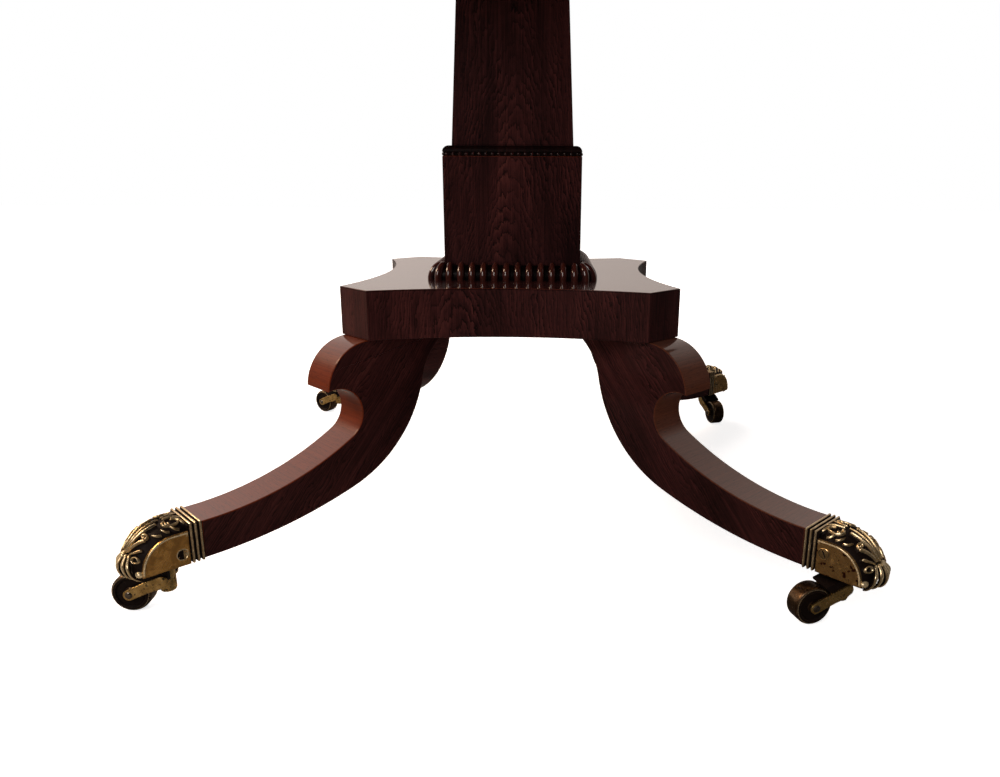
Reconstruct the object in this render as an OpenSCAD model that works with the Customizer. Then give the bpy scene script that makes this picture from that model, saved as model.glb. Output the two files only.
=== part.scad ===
// Tilt-top pedestal table, about 1820: a rosewood top that tips on a square tapered column,
// set on a hollow-sided platform with four scroll-kneed sabre legs, brass toe caps and castors.
// +Z up, origin on the floor under the column, front of the table towards -Y.

/* [Table] */
// Height of the top's surface above the floor
table_h = 730; // [700:5:760]
// Length of the top, side to side
top_l = 1140; // [1000:10:1300]
// Depth of the top, front to back
top_d = 860; // [780:10:940]
// Thickness of the top board
top_t = 24; // [20:1:30]
// Radius of the top's corners in plan
top_corner_r = 60; // [40:5:90]
// Width of the moulded edge let on round the board
edge_w = 16; // [14:1:24]

/* [Frieze] */
// Depth of the frieze below the board
frieze_h = 38; // [28:1:42]
// Thickness of the frieze rails
frieze_t = 18; // [14:1:22]
// How far the frieze stands in from the edge of the top
frieze_inset = 50; // [30:5:70]
// Outer radius of the frieze's corners
frieze_corner_r = 40; // [30:2:60]

/* [Tilt mechanism] */
// Side of the square pivot block on the column's head
block_w = 250; // [220:5:280]
// Thickness of the pivot block
block_t = 36; // [30:1:40]
// Depth of the bearers under the board
bearer_t = 36; // [30:1:40]
// Width of each bearer
bearer_w = 60; // [40:2:70]
// Diameter of the pivot pins
pin_d = 14; // [10:1:16]
// How far each pin enters the block
pin_grip = 50; // [30:2:60]
// Clearance between the block and the parts that swing past it
swing_gap = 0.4; // [0.3:0.1:1]
// Running clearance on the radius of pins, axles and bolts
run_gap = 0.08; // [0.05:0.01:0.1]
// Clearance on the radius of screws, dowels and glued pins
seat_gap = 0.05; // [0.02:0.01:0.1]

/* [Barrel bolts] */
// Distance of each bolt from the middle of the table
bolt_x = 70; // [50:2:90]
// Diameter of the bolt
bolt_d = 9; // [7:1:10]
// Travel of the bolt
bolt_throw = 12; // [8:1:14]
// Length of the bolt's plate
bolt_plate_l = 80; // [70:2:100]
// Width of the bolt's plate and of its keep
bolt_plate_w = 34; // [28:1:40]
// Thickness of the bolt's plate and of its keep
bolt_plate_t = 2; // [1.5:0.5:3]
// How far the bolt's centre line lies below the board
bolt_drop = 12; // [10:1:14]

/* [Column] */
// Side of the square column where it leaves the sleeve
column_foot_w = 128; // [116:1:134]
// Side of the square column at its head
column_head_w = 103; // [90:1:112]
// Side of the straight core inside the sleeve
column_core_w = 100; // [80:2:108]
// Side of the tenons through the platform and the pivot block
tenon_w = 64; // [50:2:72]

/* [Sleeve] */
// Side of the square sleeve at the foot of the column
sleeve_w = 145; // [142:1:156]
// Height of the sleeve's veneered face
sleeve_h = 127; // [101:2:151]
// Radius of the quarter-round moulding on the sleeve
sleeve_mould_r = 6.5; // [5:0.5:8]
// Height of the beaded strip under the moulding
bead_strip_h = 4; // [3.5:0.5:6]
// Diameter of one bead
bead_d = 4; // [3:0.5:4.5]
// Beads along each side
beads_per_side = 21; // [15:1:25]

/* [Gadrooned collar] */
// Lobes along each side
lobes_per_side = 12; // [8:1:14]
// Radius of one lobe
lobe_r = 5.4; // [5.2:0.1:5.7]
// Radius of the curve that each lobe bends over
lobe_bend_r = 13.5; // [12:0.5:13.5]
// Height of the straight foot under the lobes
collar_foot_h = 1.5; // [1:0.5:8]

/* [Platform] */
// Height of the platform's top above the floor
platform_h = 266; // [264:1:272]
// Width of the platform across its corners' flats
platform_w = 340; // [320:2:380]
// Thickness of the platform
platform_t = 49; // [46:1:52]
// Set-back of the canted corners along each side
cant = 34; // [30:1:40]
// How far each side hollows in
hollow = 24; // [10:1:34]

/* [Legs] */
// Thickness of a leg
leg_w = 42; // [40:1:46]
// Reach of a leg to the back of its brass cap, from the column's centre
leg_reach = 391; // [380:1:420]
// Height of the leg's upper edge at the cap
toe_top = 81; // [80:0.5:86]
// Height of the leg's lower edge at the cap
toe_bottom = 46; // [45:1:48]
// Radius of the scrolled knee
knee_r = 47; // [42:1:50]
// Distance of the knee's centre from the column's centre, as a share of the reach
knee_share = 0.547; // [0.53:0.001:0.557]
// Radius of the round notch below the knee
notch_r = 27.5; // [24:0.5:30]
// Distance of the notch's centre from the column's centre, as a share of the reach
notch_share = 0.646; // [0.635:0.001:0.655]
// Radius of the long hollow sweep on top of the leg
sweep_r = 300; // [290:2:314]
// Radius of the long sweep under the leg
sole_r = 480; // [460:2:500]
// Radius of the leg's heel
heel_r = 132; // [124:1:140]
// Distance of the heel's centre from the column's centre, as a share of the reach
heel_share = 0.716; // [0.7:0.001:0.73]
// Radius of the cove where the leg runs into the platform
cove_r = 61; // [54:1:68]
// Diameter of the dowels between leg and platform
dowel_d = 10; // [8:1:12]
// Length of the dowels
dowel_l = 40; // [30:2:50]

/* [Brass caps] */
// Length of the ridged band round the leg's end
band_l = 12.5; // [8:0.5:14]
// How far the brass stands proud of the leg
cap_proud = 1.5; // [1:0.1:2.5]
// Wall of the brass cap round the leg's tongue
cap_wall = 3; // [2:0.5:4]
// Radius of the rounded front of the side plates
cheek_r = 27.5; // [26:0.5:30]
// Height of the leaf casting above the side plates
crown_h = 10.5; // [8:0.5:11]
// Radius of the claws' bend at the toe
claw_bend_r = 12; // [10:0.5:13]
// Radius of one claw
claw_r = 3; // [2.6:0.1:3.3]
// Distance from one claw to the next
claw_pitch = 7.4; // [7:0.1:8]
// How far each outer claw stands back from the one beside it
claw_step = 3; // [2:0.5:4]
// Height of the cap's underside above the floor
cap_base_h = 45; // [43:0.5:45.5]
// Height of each cap's screws above its underside: front left, front right, back right, back left
screw_rise = [11, 19, 15, 15];

/* [Castors] */
// Diameter of a castor wheel
wheel_d = 35; // [32:0.5:35]
// Width of a castor wheel
wheel_w = 17; // [14:0.5:18]
// Distance of the wheel's axle from the swivel
trail = 30; // [28:0.5:34]
// Distance of the swivel from the back of the cap
swivel_set = 27; // [25:1:30]
// Diameter of the swivel pin
swivel_d = 7; // [6:0.5:8]
// Length of the swivel pin inside the cap
swivel_l = 10; // [8:1:12]
// Diameter of the fork's boss
boss_d = 14; // [12:0.5:16]
// Thickness of the fork's cheeks
cheek_t = 3; // [2:0.5:4]
// Diameter of the axle
axle_d = 5; // [4:0.5:6]
// Way each castor trails at rest: front left, front right, back right, back left
headings = [182, 196, 285, 150];

/* [Hidden] */

$fn = 96;
past = 1;                               // how far a cut runs past the face that it opens

rosewood = "#4a2119";
core_wood = "#7a5230";
brass = "#b08a3e";
aged_brass = "#80622c";
wheel_brass = "#5c4322";
steel = "#77726a";

// Heights
board_under = table_h - top_t;
block_top = board_under - swing_gap;
block_under = block_top - block_t;
pin_y = (block_w - block_t) / 2;
pin_z = block_top - block_t / 2;
platform_under = platform_h - platform_t;
sleeve_top = platform_h + sleeve_h;
strip_top = sleeve_top + bead_strip_h;

// Corners, counted round from the front left
corner_angle = [225, 315, 45, 135];
swivel_reach = leg_reach + swivel_set;

// Points along an arc about c, from angle a0 to a1
function arc(c, r, a0, a1, steps = 10) =
    [for (i = [0 : steps]) let (a = a0 + (a1 - a0) * i / steps) c + r * [cos(a), sin(a)]];

// Direction of b seen from a
function bearing(a, b) = atan2(b.y - a.y, b.x - a.x);

// Angle at a circle's centre between the line to another circle and the point where they cross
function crossing(r, other_r, d) = acos((r * r - other_r * other_r + d * d) / (2 * r * d));

// A point at x, at distance d from c and below it
function below(c, d, x) = [x, c.y - sqrt(d * d - (c.x - x) * (c.x - x))];

// Stands a flat outline (distance from the column, height) up as a plate of thickness w
module upright(w) rotate([90, 0, 0]) translate([0, 0, -w / 2]) linear_extrude(w) children();

// Carries a piece to corner i
module at_corner(i) rotate([0, 0, corner_angle[i]]) children();

// Carries a castor piece to corner i and turns it the way it trails
module at_castor(i) {
    a = corner_angle[i];
    translate(swivel_reach * [cos(a), sin(a), 0]) rotate([0, 0, headings[i]]) children();
}

module square_bar(w, z0, z1) translate([-w / 2, -w / 2, z0]) cube([w, w, z1 - z0]);

module rod(r, z0, z1) translate([0, 0, z0]) cylinder(r = r, h = z1 - z0);

// Rectangle with round corners
module round_plate(l, d, r) {
    square([l - 2 * r, d], center = true);
    square([l, d - 2 * r], center = true);
    for (x = [-1, 1], y = [-1, 1]) translate([x * (l / 2 - r), y * (d / 2 - r)]) circle(r = r);
}

// A countersunk screw: head's face at z = 0, shank down to -l
module wood_screw(d, l) {
    head = d * 0.95;
    rotate_extrude() polygon([[0, 0], [head, 0], [d / 2, -head / 2], [d / 2, -l + d], [0, -l]]);
}

// The hole that a screw leaves in the pieces it holds
module screw_hole(d, l) {
    head = d * 0.95 + seat_gap;
    shank = d / 2 + seat_gap;
    rotate_extrude() polygon([[0, past], [head, past], [head, 0], [shank, -head / 2],
                              [shank, -l + d], [0, -l - seat_gap]]);
}

// Base

leg_knee = [leg_reach * knee_share, platform_under - knee_r];
platform_corner = (platform_w - cant) / sqrt(2);
dowel_reach = [leg_knee.x - 64, min(leg_knee.x - 18, platform_corner - 20)];

module dowel_holes() {
    for (x = dowel_reach) translate([x, 0, 0])
        rod(dowel_d / 2 + seat_gap, platform_under - dowel_l / 2 - 1, platform_under + dowel_l / 2 + 1);
}

module platform_outline() {
    chord = platform_w / 2 - cant;
    hollow_r = (chord * chord + hollow * hollow) / (2 * hollow);
    side = platform_w / 2;
    difference() {
        intersection() {
            square(platform_w, center = true);
            rotate(45) square((2 * platform_w - 2 * cant) / sqrt(2), center = true);
        }
        for (a = [0 : 90 : 270]) rotate(a)
            translate([0, side - hollow + hollow_r]) circle(r = hollow_r, $fn = 360);
    }
}

module platform() color(rosewood) difference() {
    translate([0, 0, platform_under]) linear_extrude(platform_t) platform_outline();
    square_bar(tenon_w + 2 * seat_gap, platform_under - past, platform_h + past);
    for (i = [0 : 3]) at_corner(i) dowel_holes();
}

// One taper of the column as a standing plate; two of them crossed make the shaft
module column_taper() upright(column_foot_w + past)
    polygon([[-column_foot_w / 2, sleeve_top], [column_foot_w / 2, sleeve_top],
             [column_head_w / 2, block_under], [-column_head_w / 2, block_under]]);

wedge_t = 6;
wedge_l = 30;
wedge_tip_t = 2;

// Wedge driven into a tenon's end, thick end at z = 0, pointing up
module wedge(extra = 0) upright(tenon_w + extra)
    polygon([[-wedge_t / 2, 0], [wedge_t / 2, 0], [wedge_tip_t / 2, wedge_l], [-wedge_tip_t / 2, wedge_l]]);

module at_wedges() {
    translate([0, 0, platform_under]) children();
    translate([0, 0, block_top]) mirror([0, 0, 1]) children();
}

module column() color(rosewood) difference() {
    union() {
        intersection() {
            column_taper();
            rotate([0, 0, 90]) column_taper();
        }
        square_bar(column_core_w, platform_h, sleeve_top);
        square_bar(tenon_w, platform_under, platform_h);
        square_bar(tenon_w, block_under, block_top);
    }
    at_wedges() wedge(past);
}

module column_wedges() color(core_wood) at_wedges() wedge();

module sleeve_block() color(rosewood) difference() {
    square_bar(sleeve_w, platform_h, sleeve_top);
    square_bar(column_core_w + 2 * seat_gap, platform_h - past, sleeve_top + past);
}

column_hole_w = column_foot_w + 2 * seat_gap;
strip_w = sleeve_w - bead_d * 0.6;

// Strip let on round the top of the sleeve, with a row of half-sunk beads
module bead_strip() color(rosewood) {
    pitch = strip_w / beads_per_side;
    difference() {
        union() {
            square_bar(strip_w, sleeve_top, strip_top);
            for (a = [0 : 90 : 270], i = [0 : beads_per_side - 1]) rotate([0, 0, a])
                translate([strip_w / 2, -strip_w / 2 + i * pitch, sleeve_top + bead_strip_h / 2])
                    sphere(d = bead_d, $fn = 24);
        }
        square_bar(column_hole_w, sleeve_top - past, strip_top + past);
    }
}

// Quarter-round section across the sleeve, standing
module mould_section() upright(sleeve_w + past) {
    w = sleeve_w / 2;
    translate([0, strip_top]) {
        square([2 * (w - sleeve_mould_r), 2 * sleeve_mould_r], center = true);
        for (x = [-1, 1]) translate([x * (w - sleeve_mould_r), 0]) circle(r = sleeve_mould_r);
    }
}

module sleeve_moulding() color(rosewood) difference() {
    intersection() {
        mould_section();
        rotate([0, 0, 90]) mould_section();
        square_bar(sleeve_w + past, strip_top, strip_top + sleeve_mould_r);
    }
    square_bar(column_hole_w, strip_top - past, strip_top + sleeve_mould_r + past);
}

// Gadrooned collar

// A round bar bent a quarter turn: it starts at distance bend along X and curls up over the Y axis
module bent_lobe() rotate([90, 0, 0]) rotate_extrude(angle = 90)
    translate([lobe_bend_r, 0]) circle(r = lobe_r, $fn = 48);

module lobe() translate([0, 0, platform_h]) {
    translate([0, 0, collar_foot_h]) bent_lobe();
    translate([lobe_bend_r, 0, 0]) cylinder(r = lobe_r, h = collar_foot_h, $fn = 48);
}

// Plain ovolo behind the lobes
module collar_core_section() translate([0, platform_h]) {
    square([lobe_bend_r, collar_foot_h]);
    translate([0, collar_foot_h]) intersection() {
        circle(r = lobe_bend_r);
        square(lobe_bend_r);
    }
}

// One side of the collar, mitred through its corners
module gadroon_side() color(rosewood) {
    face = sleeve_w / 2 + seat_gap;
    pitch = 2 * face / lobes_per_side;
    reach = lobe_bend_r + lobe_r;
    intersection() {
        union() {
            translate([face, 0, 0]) upright(2 * face) collar_core_section();
            for (i = [0 : lobes_per_side - 1])
                translate([face, -face + (i + 0.5) * pitch, 0]) lobe();
            for (s = [-1, 1]) translate([face, s * face, 0]) {
                rotate([0, 0, s * 22.5]) lobe();
                rotate([0, 0, s < 0 ? -45 : 0]) rotate_extrude(angle = 45) collar_core_section();
            }
        }
        translate([0, 0, platform_h]) linear_extrude(face) polygon([
            [face, -face], [face + reach + past, -face - reach - past],
            [face + reach + past, face + reach + past], [face, face]]);
    }
}

// Legs

leg_sweep = [leg_reach, toe_top + sweep_r];
leg_notch = below(leg_sweep, sweep_r - notch_r, leg_reach * notch_share);
leg_sole = [leg_reach, toe_bottom + sole_r];
leg_heel = below(leg_sole, sole_r - heel_r, leg_reach * heel_share);
cove_end = 75;                          // angle at which the cove stops, short of a feather edge
cove_h = platform_under - cove_r * sin(cove_end);
leg_cove = [leg_heel.x - sqrt(pow(heel_r + cove_r, 2) - pow(leg_heel.y - cove_h, 2)), cove_h];

// Side of a leg: knee, notch and long sweep outside, sole, heel and cove inside. The arcs are tangent,
// but for the sharp tip where the knee meets the notch
module leg_outline() {
    span = norm(leg_notch - leg_knee);
    knee_turn = bearing(leg_knee, leg_notch) + crossing(knee_r, notch_r, span);
    notch_start = bearing(leg_notch, leg_knee) - crossing(notch_r, knee_r, span);
    notch_turn = bearing(leg_sweep, leg_notch) + 360;
    sole_turn = bearing(leg_sole, leg_heel) + 360;
    cove_start = bearing(leg_cove, leg_heel);
    polygon(concat(
        arc(leg_knee, knee_r, 90, knee_turn, 16),
        arc(leg_notch, notch_r, notch_start, notch_turn, 24),
        arc(leg_sweep, sweep_r, notch_turn, 270, 16),
        arc(leg_sole, sole_r, 270, sole_turn, 12),
        arc(leg_heel, heel_r, sole_turn, cove_start + 180, 12),
        arc(leg_cove, cove_r, cove_start, cove_end, 14)
    ));
}

swivel_hole_l = swivel_l + 1;
cheek_c = [leg_reach + band_l + 12.5, cap_base_h + 3];
tongue_l = swivel_set - swivel_d / 2 - cap_wall / 2;
tongue_base = cap_base_h + cap_wall;
tongue_top = cheek_c.y + cheek_r - cap_wall;

// Tongue on the leg's end, behind the castor's pin; the cap slides over it
module tongue(extra = 0) upright(leg_w - 2 * cap_wall + 2 * extra)
    translate([leg_reach - past, tongue_base - extra])
        square([tongue_l + past + extra, tongue_top - tongue_base + 2 * extra]);

screw_x = leg_reach + 19;
cap_screw_d = 4;
cap_screw_l = 14;

// Carries a cap screw to each side of cap i, driven inwards
module at_cap_screws(i) for (s = [0, 1]) mirror([0, s, 0])
    translate([screw_x, -leg_w / 2 - cap_proud, cap_base_h + screw_rise[i]]) rotate([90, 0, 0]) children();

module leg(i) color(rosewood) difference() {
    union() {
        upright(leg_w) leg_outline();
        tongue();
    }
    dowel_holes();
    at_cap_screws(i) screw_hole(cap_screw_d, cap_screw_l);
}

module leg_dowels() color(core_wood) for (i = [0 : 3], x = dowel_reach) at_corner(i) translate([x, 0, 0])
    rod(dowel_d / 2, platform_under - dowel_l / 2, platform_under + dowel_l / 2);

// Brass caps

crown_half_w = leg_w / 2 - 1;
crown_top_r = cheek_r + crown_h;
crown_r = (crown_half_w * crown_half_w + crown_h * crown_h) / (2 * crown_h);
crown_start = -8;                       // below level, towards the toe
crown_end = 90 + asin((cheek_c.x - leg_reach - band_l + past) / cheek_r);
claw_c = [cheek_c.x + cheek_r - 6.5, cap_base_h + 8];
band_ridges = 3;

// Side plate: level foot, upright back and a quarter-round front
module cheek_outline() {
    back = leg_reach + band_l;
    translate([back, cap_base_h]) square([cheek_c.x - back, cheek_c.y + cheek_r - cap_base_h]);
    translate([cheek_c.x - past, cap_base_h]) square([cheek_r + past, cheek_c.y - cap_base_h]);
    intersection() {
        translate(cheek_c) circle(r = cheek_r);
        translate([cheek_c.x - past, cheek_c.y - past]) square(cheek_r + 2 * past);
    }
}

// Half section of the leaf casting: a crown that falls away to the side plates
module crown_section() intersection() {
    translate([crown_top_r - crown_r, 0]) circle(r = crown_r);
    translate([cheek_r - crown_h, -crown_half_w - past]) square([2 * crown_h, 2 * (crown_half_w + past)]);
}

// Leaf casting bent over the side plates, from the band round to the toe
module crown() translate([cheek_c.x, 0, cheek_c.y]) rotate([90, 0, 0]) rotate([0, 0, crown_start])
    rotate_extrude(angle = crown_end - crown_start) crown_section();

// One curled claw at the toe
module claw() translate([claw_c.x, 0, claw_c.y]) rotate([90, 0, 0]) rotate([0, 0, -72])
    rotate_extrude(angle = 130) translate([claw_bend_r, 0]) circle(r = claw_r, $fn = 40);

module band() {
    pitch = band_l / band_ridges;
    full = leg_w + 2 * cap_proud;
    top = toe_top + cap_proud;
    translate([leg_reach, -leg_w / 2, toe_bottom]) cube([band_l, leg_w, toe_top - toe_bottom]);
    for (k = [0 : band_ridges - 1]) translate([leg_reach + k * pitch, -full / 2, cap_base_h])
        cube([pitch * 0.65, full, top - cap_base_h]);
}

module cap(i) color(brass) difference() {
    union() {
        band();
        upright(leg_w + 2 * cap_proud) cheek_outline();
        crown();
        for (k = [-2 : 2]) translate([-abs(k) * claw_step, k * claw_pitch, 0]) claw();
    }
    tongue(seat_gap);
    translate([swivel_reach, 0, 0]) rod(swivel_d / 2 + run_gap, cap_base_h - past, cap_base_h + swivel_hole_l);
    at_cap_screws(i) screw_hole(cap_screw_d, cap_screw_l);
}

module cap_screws() color(steel) for (i = [0 : 3]) at_corner(i) at_cap_screws(i)
    wood_screw(cap_screw_d, cap_screw_l);

// Castors

axle_h = wheel_d / 2;
side_gap = 0.5;                         // between the wheel's side and the fork's cheek
fork_top = cap_base_h - 0.3;            // the flange turns just clear of the cap
flange_d = boss_d + 6;
flange_t = 5;
arm_h = 10;
eye_r = 5.2;
fork_root = [0, fork_top - flange_t - arm_h / 2 - 4];
fork_eye = [trail, axle_h];
boss_base = fork_root.y - 13.5;
fork_half_w = wheel_w / 2 + side_gap + cheek_t;
wheel_gap = 1.5;                        // between the wheel's tread and the web
web_l = trail - sqrt(pow(axle_h + wheel_gap, 2) - pow(fork_root.y - axle_h, 2));

// Cheek of the fork, from the cross head down to the axle's eye
module arm_outline() {
    a = bearing(fork_root, fork_eye);
    across = [-sin(a), cos(a)];
    polygon([fork_root + across * arm_h / 2, fork_root - across * arm_h / 2,
             fork_eye - across * eye_r, fork_eye + across * eye_r]);
    translate(fork_root) circle(d = arm_h);
    translate(fork_eye) circle(r = eye_r);
}

// Web that joins the two cheeks under the flange
module fork_web() upright(2 * fork_half_w - cheek_t) translate([-arm_h / 2, fork_root.y])
    square([arm_h / 2 + web_l, fork_top - flange_t - fork_root.y]);

module fork() color(aged_brass) difference() {
    union() {
        rod(boss_d / 2, boss_base, fork_top - flange_t + past);
        rod(flange_d / 2, fork_top - flange_t, fork_top);
        rod(swivel_d / 2, fork_top - past, fork_top + swivel_l);
        upright(2 * fork_half_w) translate(fork_root) circle(d = arm_h);
        fork_web();
        for (s = [-1, 1]) translate([0, s * (fork_half_w - cheek_t / 2), 0]) upright(cheek_t) arm_outline();
    }
    translate([trail, 0, axle_h]) rotate([90, 0, 0])
        cylinder(r = axle_d / 2 + seat_gap, h = 2 * (fork_half_w + past), center = true);
}

module axle() color(steel) translate([trail, 0, axle_h]) rotate([90, 0, 0]) {
    cylinder(d = axle_d, h = 2 * fork_half_w, center = true);
    for (s = [0, 1]) mirror([0, 0, s]) translate([0, 0, fork_half_w])
        cylinder(r1 = axle_d * 0.7, r2 = axle_d * 0.4, h = 1);
}

// Wheel turned from the solid, with a round-shouldered tread and hollowed sides
module wheel() color(wheel_brass) translate([trail, 0, axle_h]) rotate([90, 0, 0]) difference() {
    shoulder = 3;
    hub_r = axle_d / 2 + 3;
    rim_t = 5;
    dish = 1.6;
    union() {
        cylinder(d = wheel_d, h = wheel_w - 2 * shoulder, center = true);
        cylinder(d = wheel_d - 2 * shoulder, h = wheel_w, center = true);
        for (s = [-1, 1]) translate([0, 0, s * (wheel_w / 2 - shoulder)])
            rotate_extrude() translate([wheel_d / 2 - shoulder, 0]) circle(r = shoulder, $fn = 48);
    }
    cylinder(r = axle_d / 2 + run_gap, h = wheel_w + 2 * past, center = true);
    for (s = [0, 1]) mirror([0, 0, s]) translate([0, 0, wheel_w / 2 - dish]) difference() {
        cylinder(r = wheel_d / 2 - rim_t, h = dish + past);
        translate([0, 0, -past]) cylinder(r = hub_r, h = dish + 3 * past);
    }
}

// Head of the column

keep_h = 20;
keep_z = board_under - bolt_drop;
keep_screw_d = 3;
keep_screw_l = 16;

module keep_plate(extra = 0) {
    w = bolt_plate_w + 2 * extra;
    h = keep_h + 2 * extra;
    translate([-w / 2, -block_w / 2 - (extra > 0 ? past : 0), keep_z - h / 2])
        cube([w, bolt_plate_t + (extra > 0 ? past : 0), h]);
}

// Carries a piece to each bolt
module at_bolts() for (s = [-1, 1]) translate([s * bolt_x, 0, 0]) children();

// Carries a keep screw to its place, driven into the block's front edge
module at_keep_screws() at_bolts() for (s = [-1, 1])
    translate([s * bolt_plate_w * 0.36, -block_w / 2, keep_z]) rotate([90, 0, 0]) children();

module bolt_hole() translate([0, -block_w / 2 - past, keep_z]) rotate([-90, 0, 0])
    cylinder(r = bolt_d / 2 + 0.5, h = bolt_throw + 4 + past);

module pivot_block() color(core_wood) difference() {
    union() {
        translate([-block_w / 2, -block_w / 2, block_under]) cube([block_w, block_w / 2 + pin_y, block_t]);
        translate([0, pin_y, pin_z]) rotate([0, 90, 0]) cylinder(d = block_t, h = block_w, center = true);
    }
    square_bar(tenon_w + 2 * seat_gap, block_under - past, block_top + past);
    for (s = [0, 1]) mirror([s, 0, 0]) translate([block_w / 2 + past, pin_y, pin_z]) rotate([0, -90, 0])
        cylinder(r = pin_d / 2 + run_gap, h = pin_grip + 1 + past);
    at_bolts() {
        keep_plate(seat_gap);
        bolt_hole();
    }
    at_keep_screws() screw_hole(keep_screw_d, keep_screw_l);
}

module bolt_keeps() color(brass) difference() {
    at_bolts() keep_plate();
    at_bolts() bolt_hole();
    at_keep_screws() screw_hole(keep_screw_d, keep_screw_l);
}

module keep_screws() color(steel) at_keep_screws() wood_screw(keep_screw_d, keep_screw_l);

// Top

board_l = top_l - 2 * edge_w;
board_d = top_d - 2 * edge_w;
board_screw_d = 5;
board_screw_l = bearer_t + 14;
plate_screw_d = 3;
plate_screw_l = 14;

// Carries a bearer screw to its place, driven up through the bearer into the board
module at_bearer_screws() for (s = [-1, 1], y = [-0.38, -0.13, 0.04, 0.38])
    translate([s * bearer_x, y * board_d, board_under - bearer_t]) rotate([180, 0, 0]) children();

// Carries a screw to each corner of the bolts' plates, driven up into the board
module at_plate_screws() at_bolts() for (x = [-1, 1], y = [0.07, 0.93])
    translate([x * bolt_plate_w * 0.36, bolt_plate_y + y * bolt_plate_l, board_under - bolt_plate_t])
        rotate([180, 0, 0]) children();

module top_board() color(rosewood) difference() {
    translate([0, 0, board_under]) linear_extrude(top_t) round_plate(board_l, board_d, top_corner_r - edge_w);
    at_bearer_screws() screw_hole(board_screw_d, board_screw_l);
    at_plate_screws() screw_hole(plate_screw_d, plate_screw_l);
}

// Section of the moulded edge: flat where it meets the board, half round outside
module edge_section() {
    nose = top_t / 2;
    translate([0, -nose]) square([edge_w - nose, top_t]);
    translate([edge_w - nose, 0]) intersection() {
        circle(r = nose);
        translate([-past, -nose]) square([nose + past, top_t]);
    }
}

module top_edge() color(rosewood) translate([0, 0, board_under + top_t / 2]) {
    r = top_corner_r - edge_w;
    for (s = [0, 180]) rotate([0, 0, s]) {
        translate([board_l / 2, 0, 0]) upright(board_d - 2 * r) edge_section();
        rotate([0, 0, 90]) translate([board_d / 2, 0, 0]) upright(board_l - 2 * r) edge_section();
        translate([board_l / 2 - r, board_d / 2 - r, 0]) rotate_extrude(angle = 90)
            translate([r, 0]) edge_section();
        translate([-board_l / 2 + r, board_d / 2 - r, 0]) rotate([0, 0, 90]) rotate_extrude(angle = 90)
            translate([r, 0]) edge_section();
    }
}

frieze_l = top_l - 2 * frieze_inset;
frieze_d = top_d - 2 * frieze_inset;

module frieze_rail(l, out) color(rosewood)
    translate([-l / 2 + frieze_corner_r, out - frieze_t, board_under - frieze_h])
        cube([l - 2 * frieze_corner_r, frieze_t, frieze_h]);

module frieze_corners() color(rosewood) for (x = [0, 1], y = [0, 1]) mirror([x, 0, 0]) mirror([0, y, 0])
    translate([frieze_l / 2 - frieze_corner_r, frieze_d / 2 - frieze_corner_r, board_under - frieze_h])
        rotate_extrude(angle = 90) translate([frieze_corner_r - frieze_t, 0]) square([frieze_t, frieze_h]);

bearer_x = block_w / 2 + swing_gap + bearer_w / 2;

module pin_bore(r) translate([0, pin_y, pin_z]) rotate([0, 90, 0]) cylinder(r = r, h = top_l, center = true);

module bearer(side) color(core_wood) difference() {
    l = frieze_d - 2 * frieze_t;
    translate([side * bearer_x - bearer_w / 2, -l / 2, board_under - bearer_t]) cube([bearer_w, l, bearer_t]);
    pin_bore(pin_d / 2 + seat_gap);
    at_bearer_screws() screw_hole(board_screw_d, board_screw_l);
}

module bearer_screws() color(steel) at_bearer_screws() wood_screw(board_screw_d, board_screw_l);

// Turned pins, driven through the bearers into the block, with a collar outside
module pivot_pins() color(steel) for (s = [0, 1]) mirror([s, 0, 0]) {
    outside = bearer_x + bearer_w / 2;
    translate([block_w / 2 - pin_grip, pin_y, pin_z]) rotate([0, 90, 0]) {
        cylinder(d = pin_d, h = outside - block_w / 2 + pin_grip);
        translate([0, 0, outside - block_w / 2 + pin_grip]) cylinder(d = pin_d + 10, h = 3);
    }
}

// Barrel bolts under the board, drawn back at rest

bolt_tip_y = -block_w / 2 - 1;
bolt_plate_y = bolt_tip_y - 3 - bolt_plate_l;
staple_l = 8;
staple_w = 16;
bolt_l = bolt_plate_l - 4;
knob_y = bolt_tip_y - bolt_l * 0.52;

module bolt_plate() {
    translate([-bolt_plate_w / 2, bolt_plate_y, board_under - bolt_plate_t])
        cube([bolt_plate_w, bolt_plate_l, bolt_plate_t]);
    for (y = [0.16, 0.84]) translate([-staple_w / 2, bolt_plate_y + y * bolt_plate_l - staple_l / 2, keep_z]) {
        cube([staple_w, staple_l, bolt_drop - bolt_plate_t / 2]);
        translate([staple_w / 2, 0, 0]) rotate([-90, 0, 0]) cylinder(d = staple_w, h = staple_l);
    }
}

module bolt_plates() color(brass) difference() {
    at_bolts() bolt_plate();
    at_bolts() translate([0, 0, keep_z]) rotate([90, 0, 0]) cylinder(r = bolt_d / 2 + run_gap, h = top_d / 2);
    at_plate_screws() screw_hole(plate_screw_d, plate_screw_l);
}

module bolt_plate_screws() color(steel) at_plate_screws() wood_screw(plate_screw_d, plate_screw_l);

module bolt(side) color(brass) translate([side * bolt_x, 0, keep_z]) {
    translate([0, bolt_tip_y, 0]) rotate([90, 0, 0]) cylinder(d = bolt_d, h = bolt_l);
    translate([0, knob_y, -bolt_d / 2 - 6]) cylinder(d = bolt_d * 0.6, h = 6 + bolt_d / 2);
    translate([0, knob_y, -bolt_d / 2 - 8]) sphere(d = bolt_d, $fn = 32);
}

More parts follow.
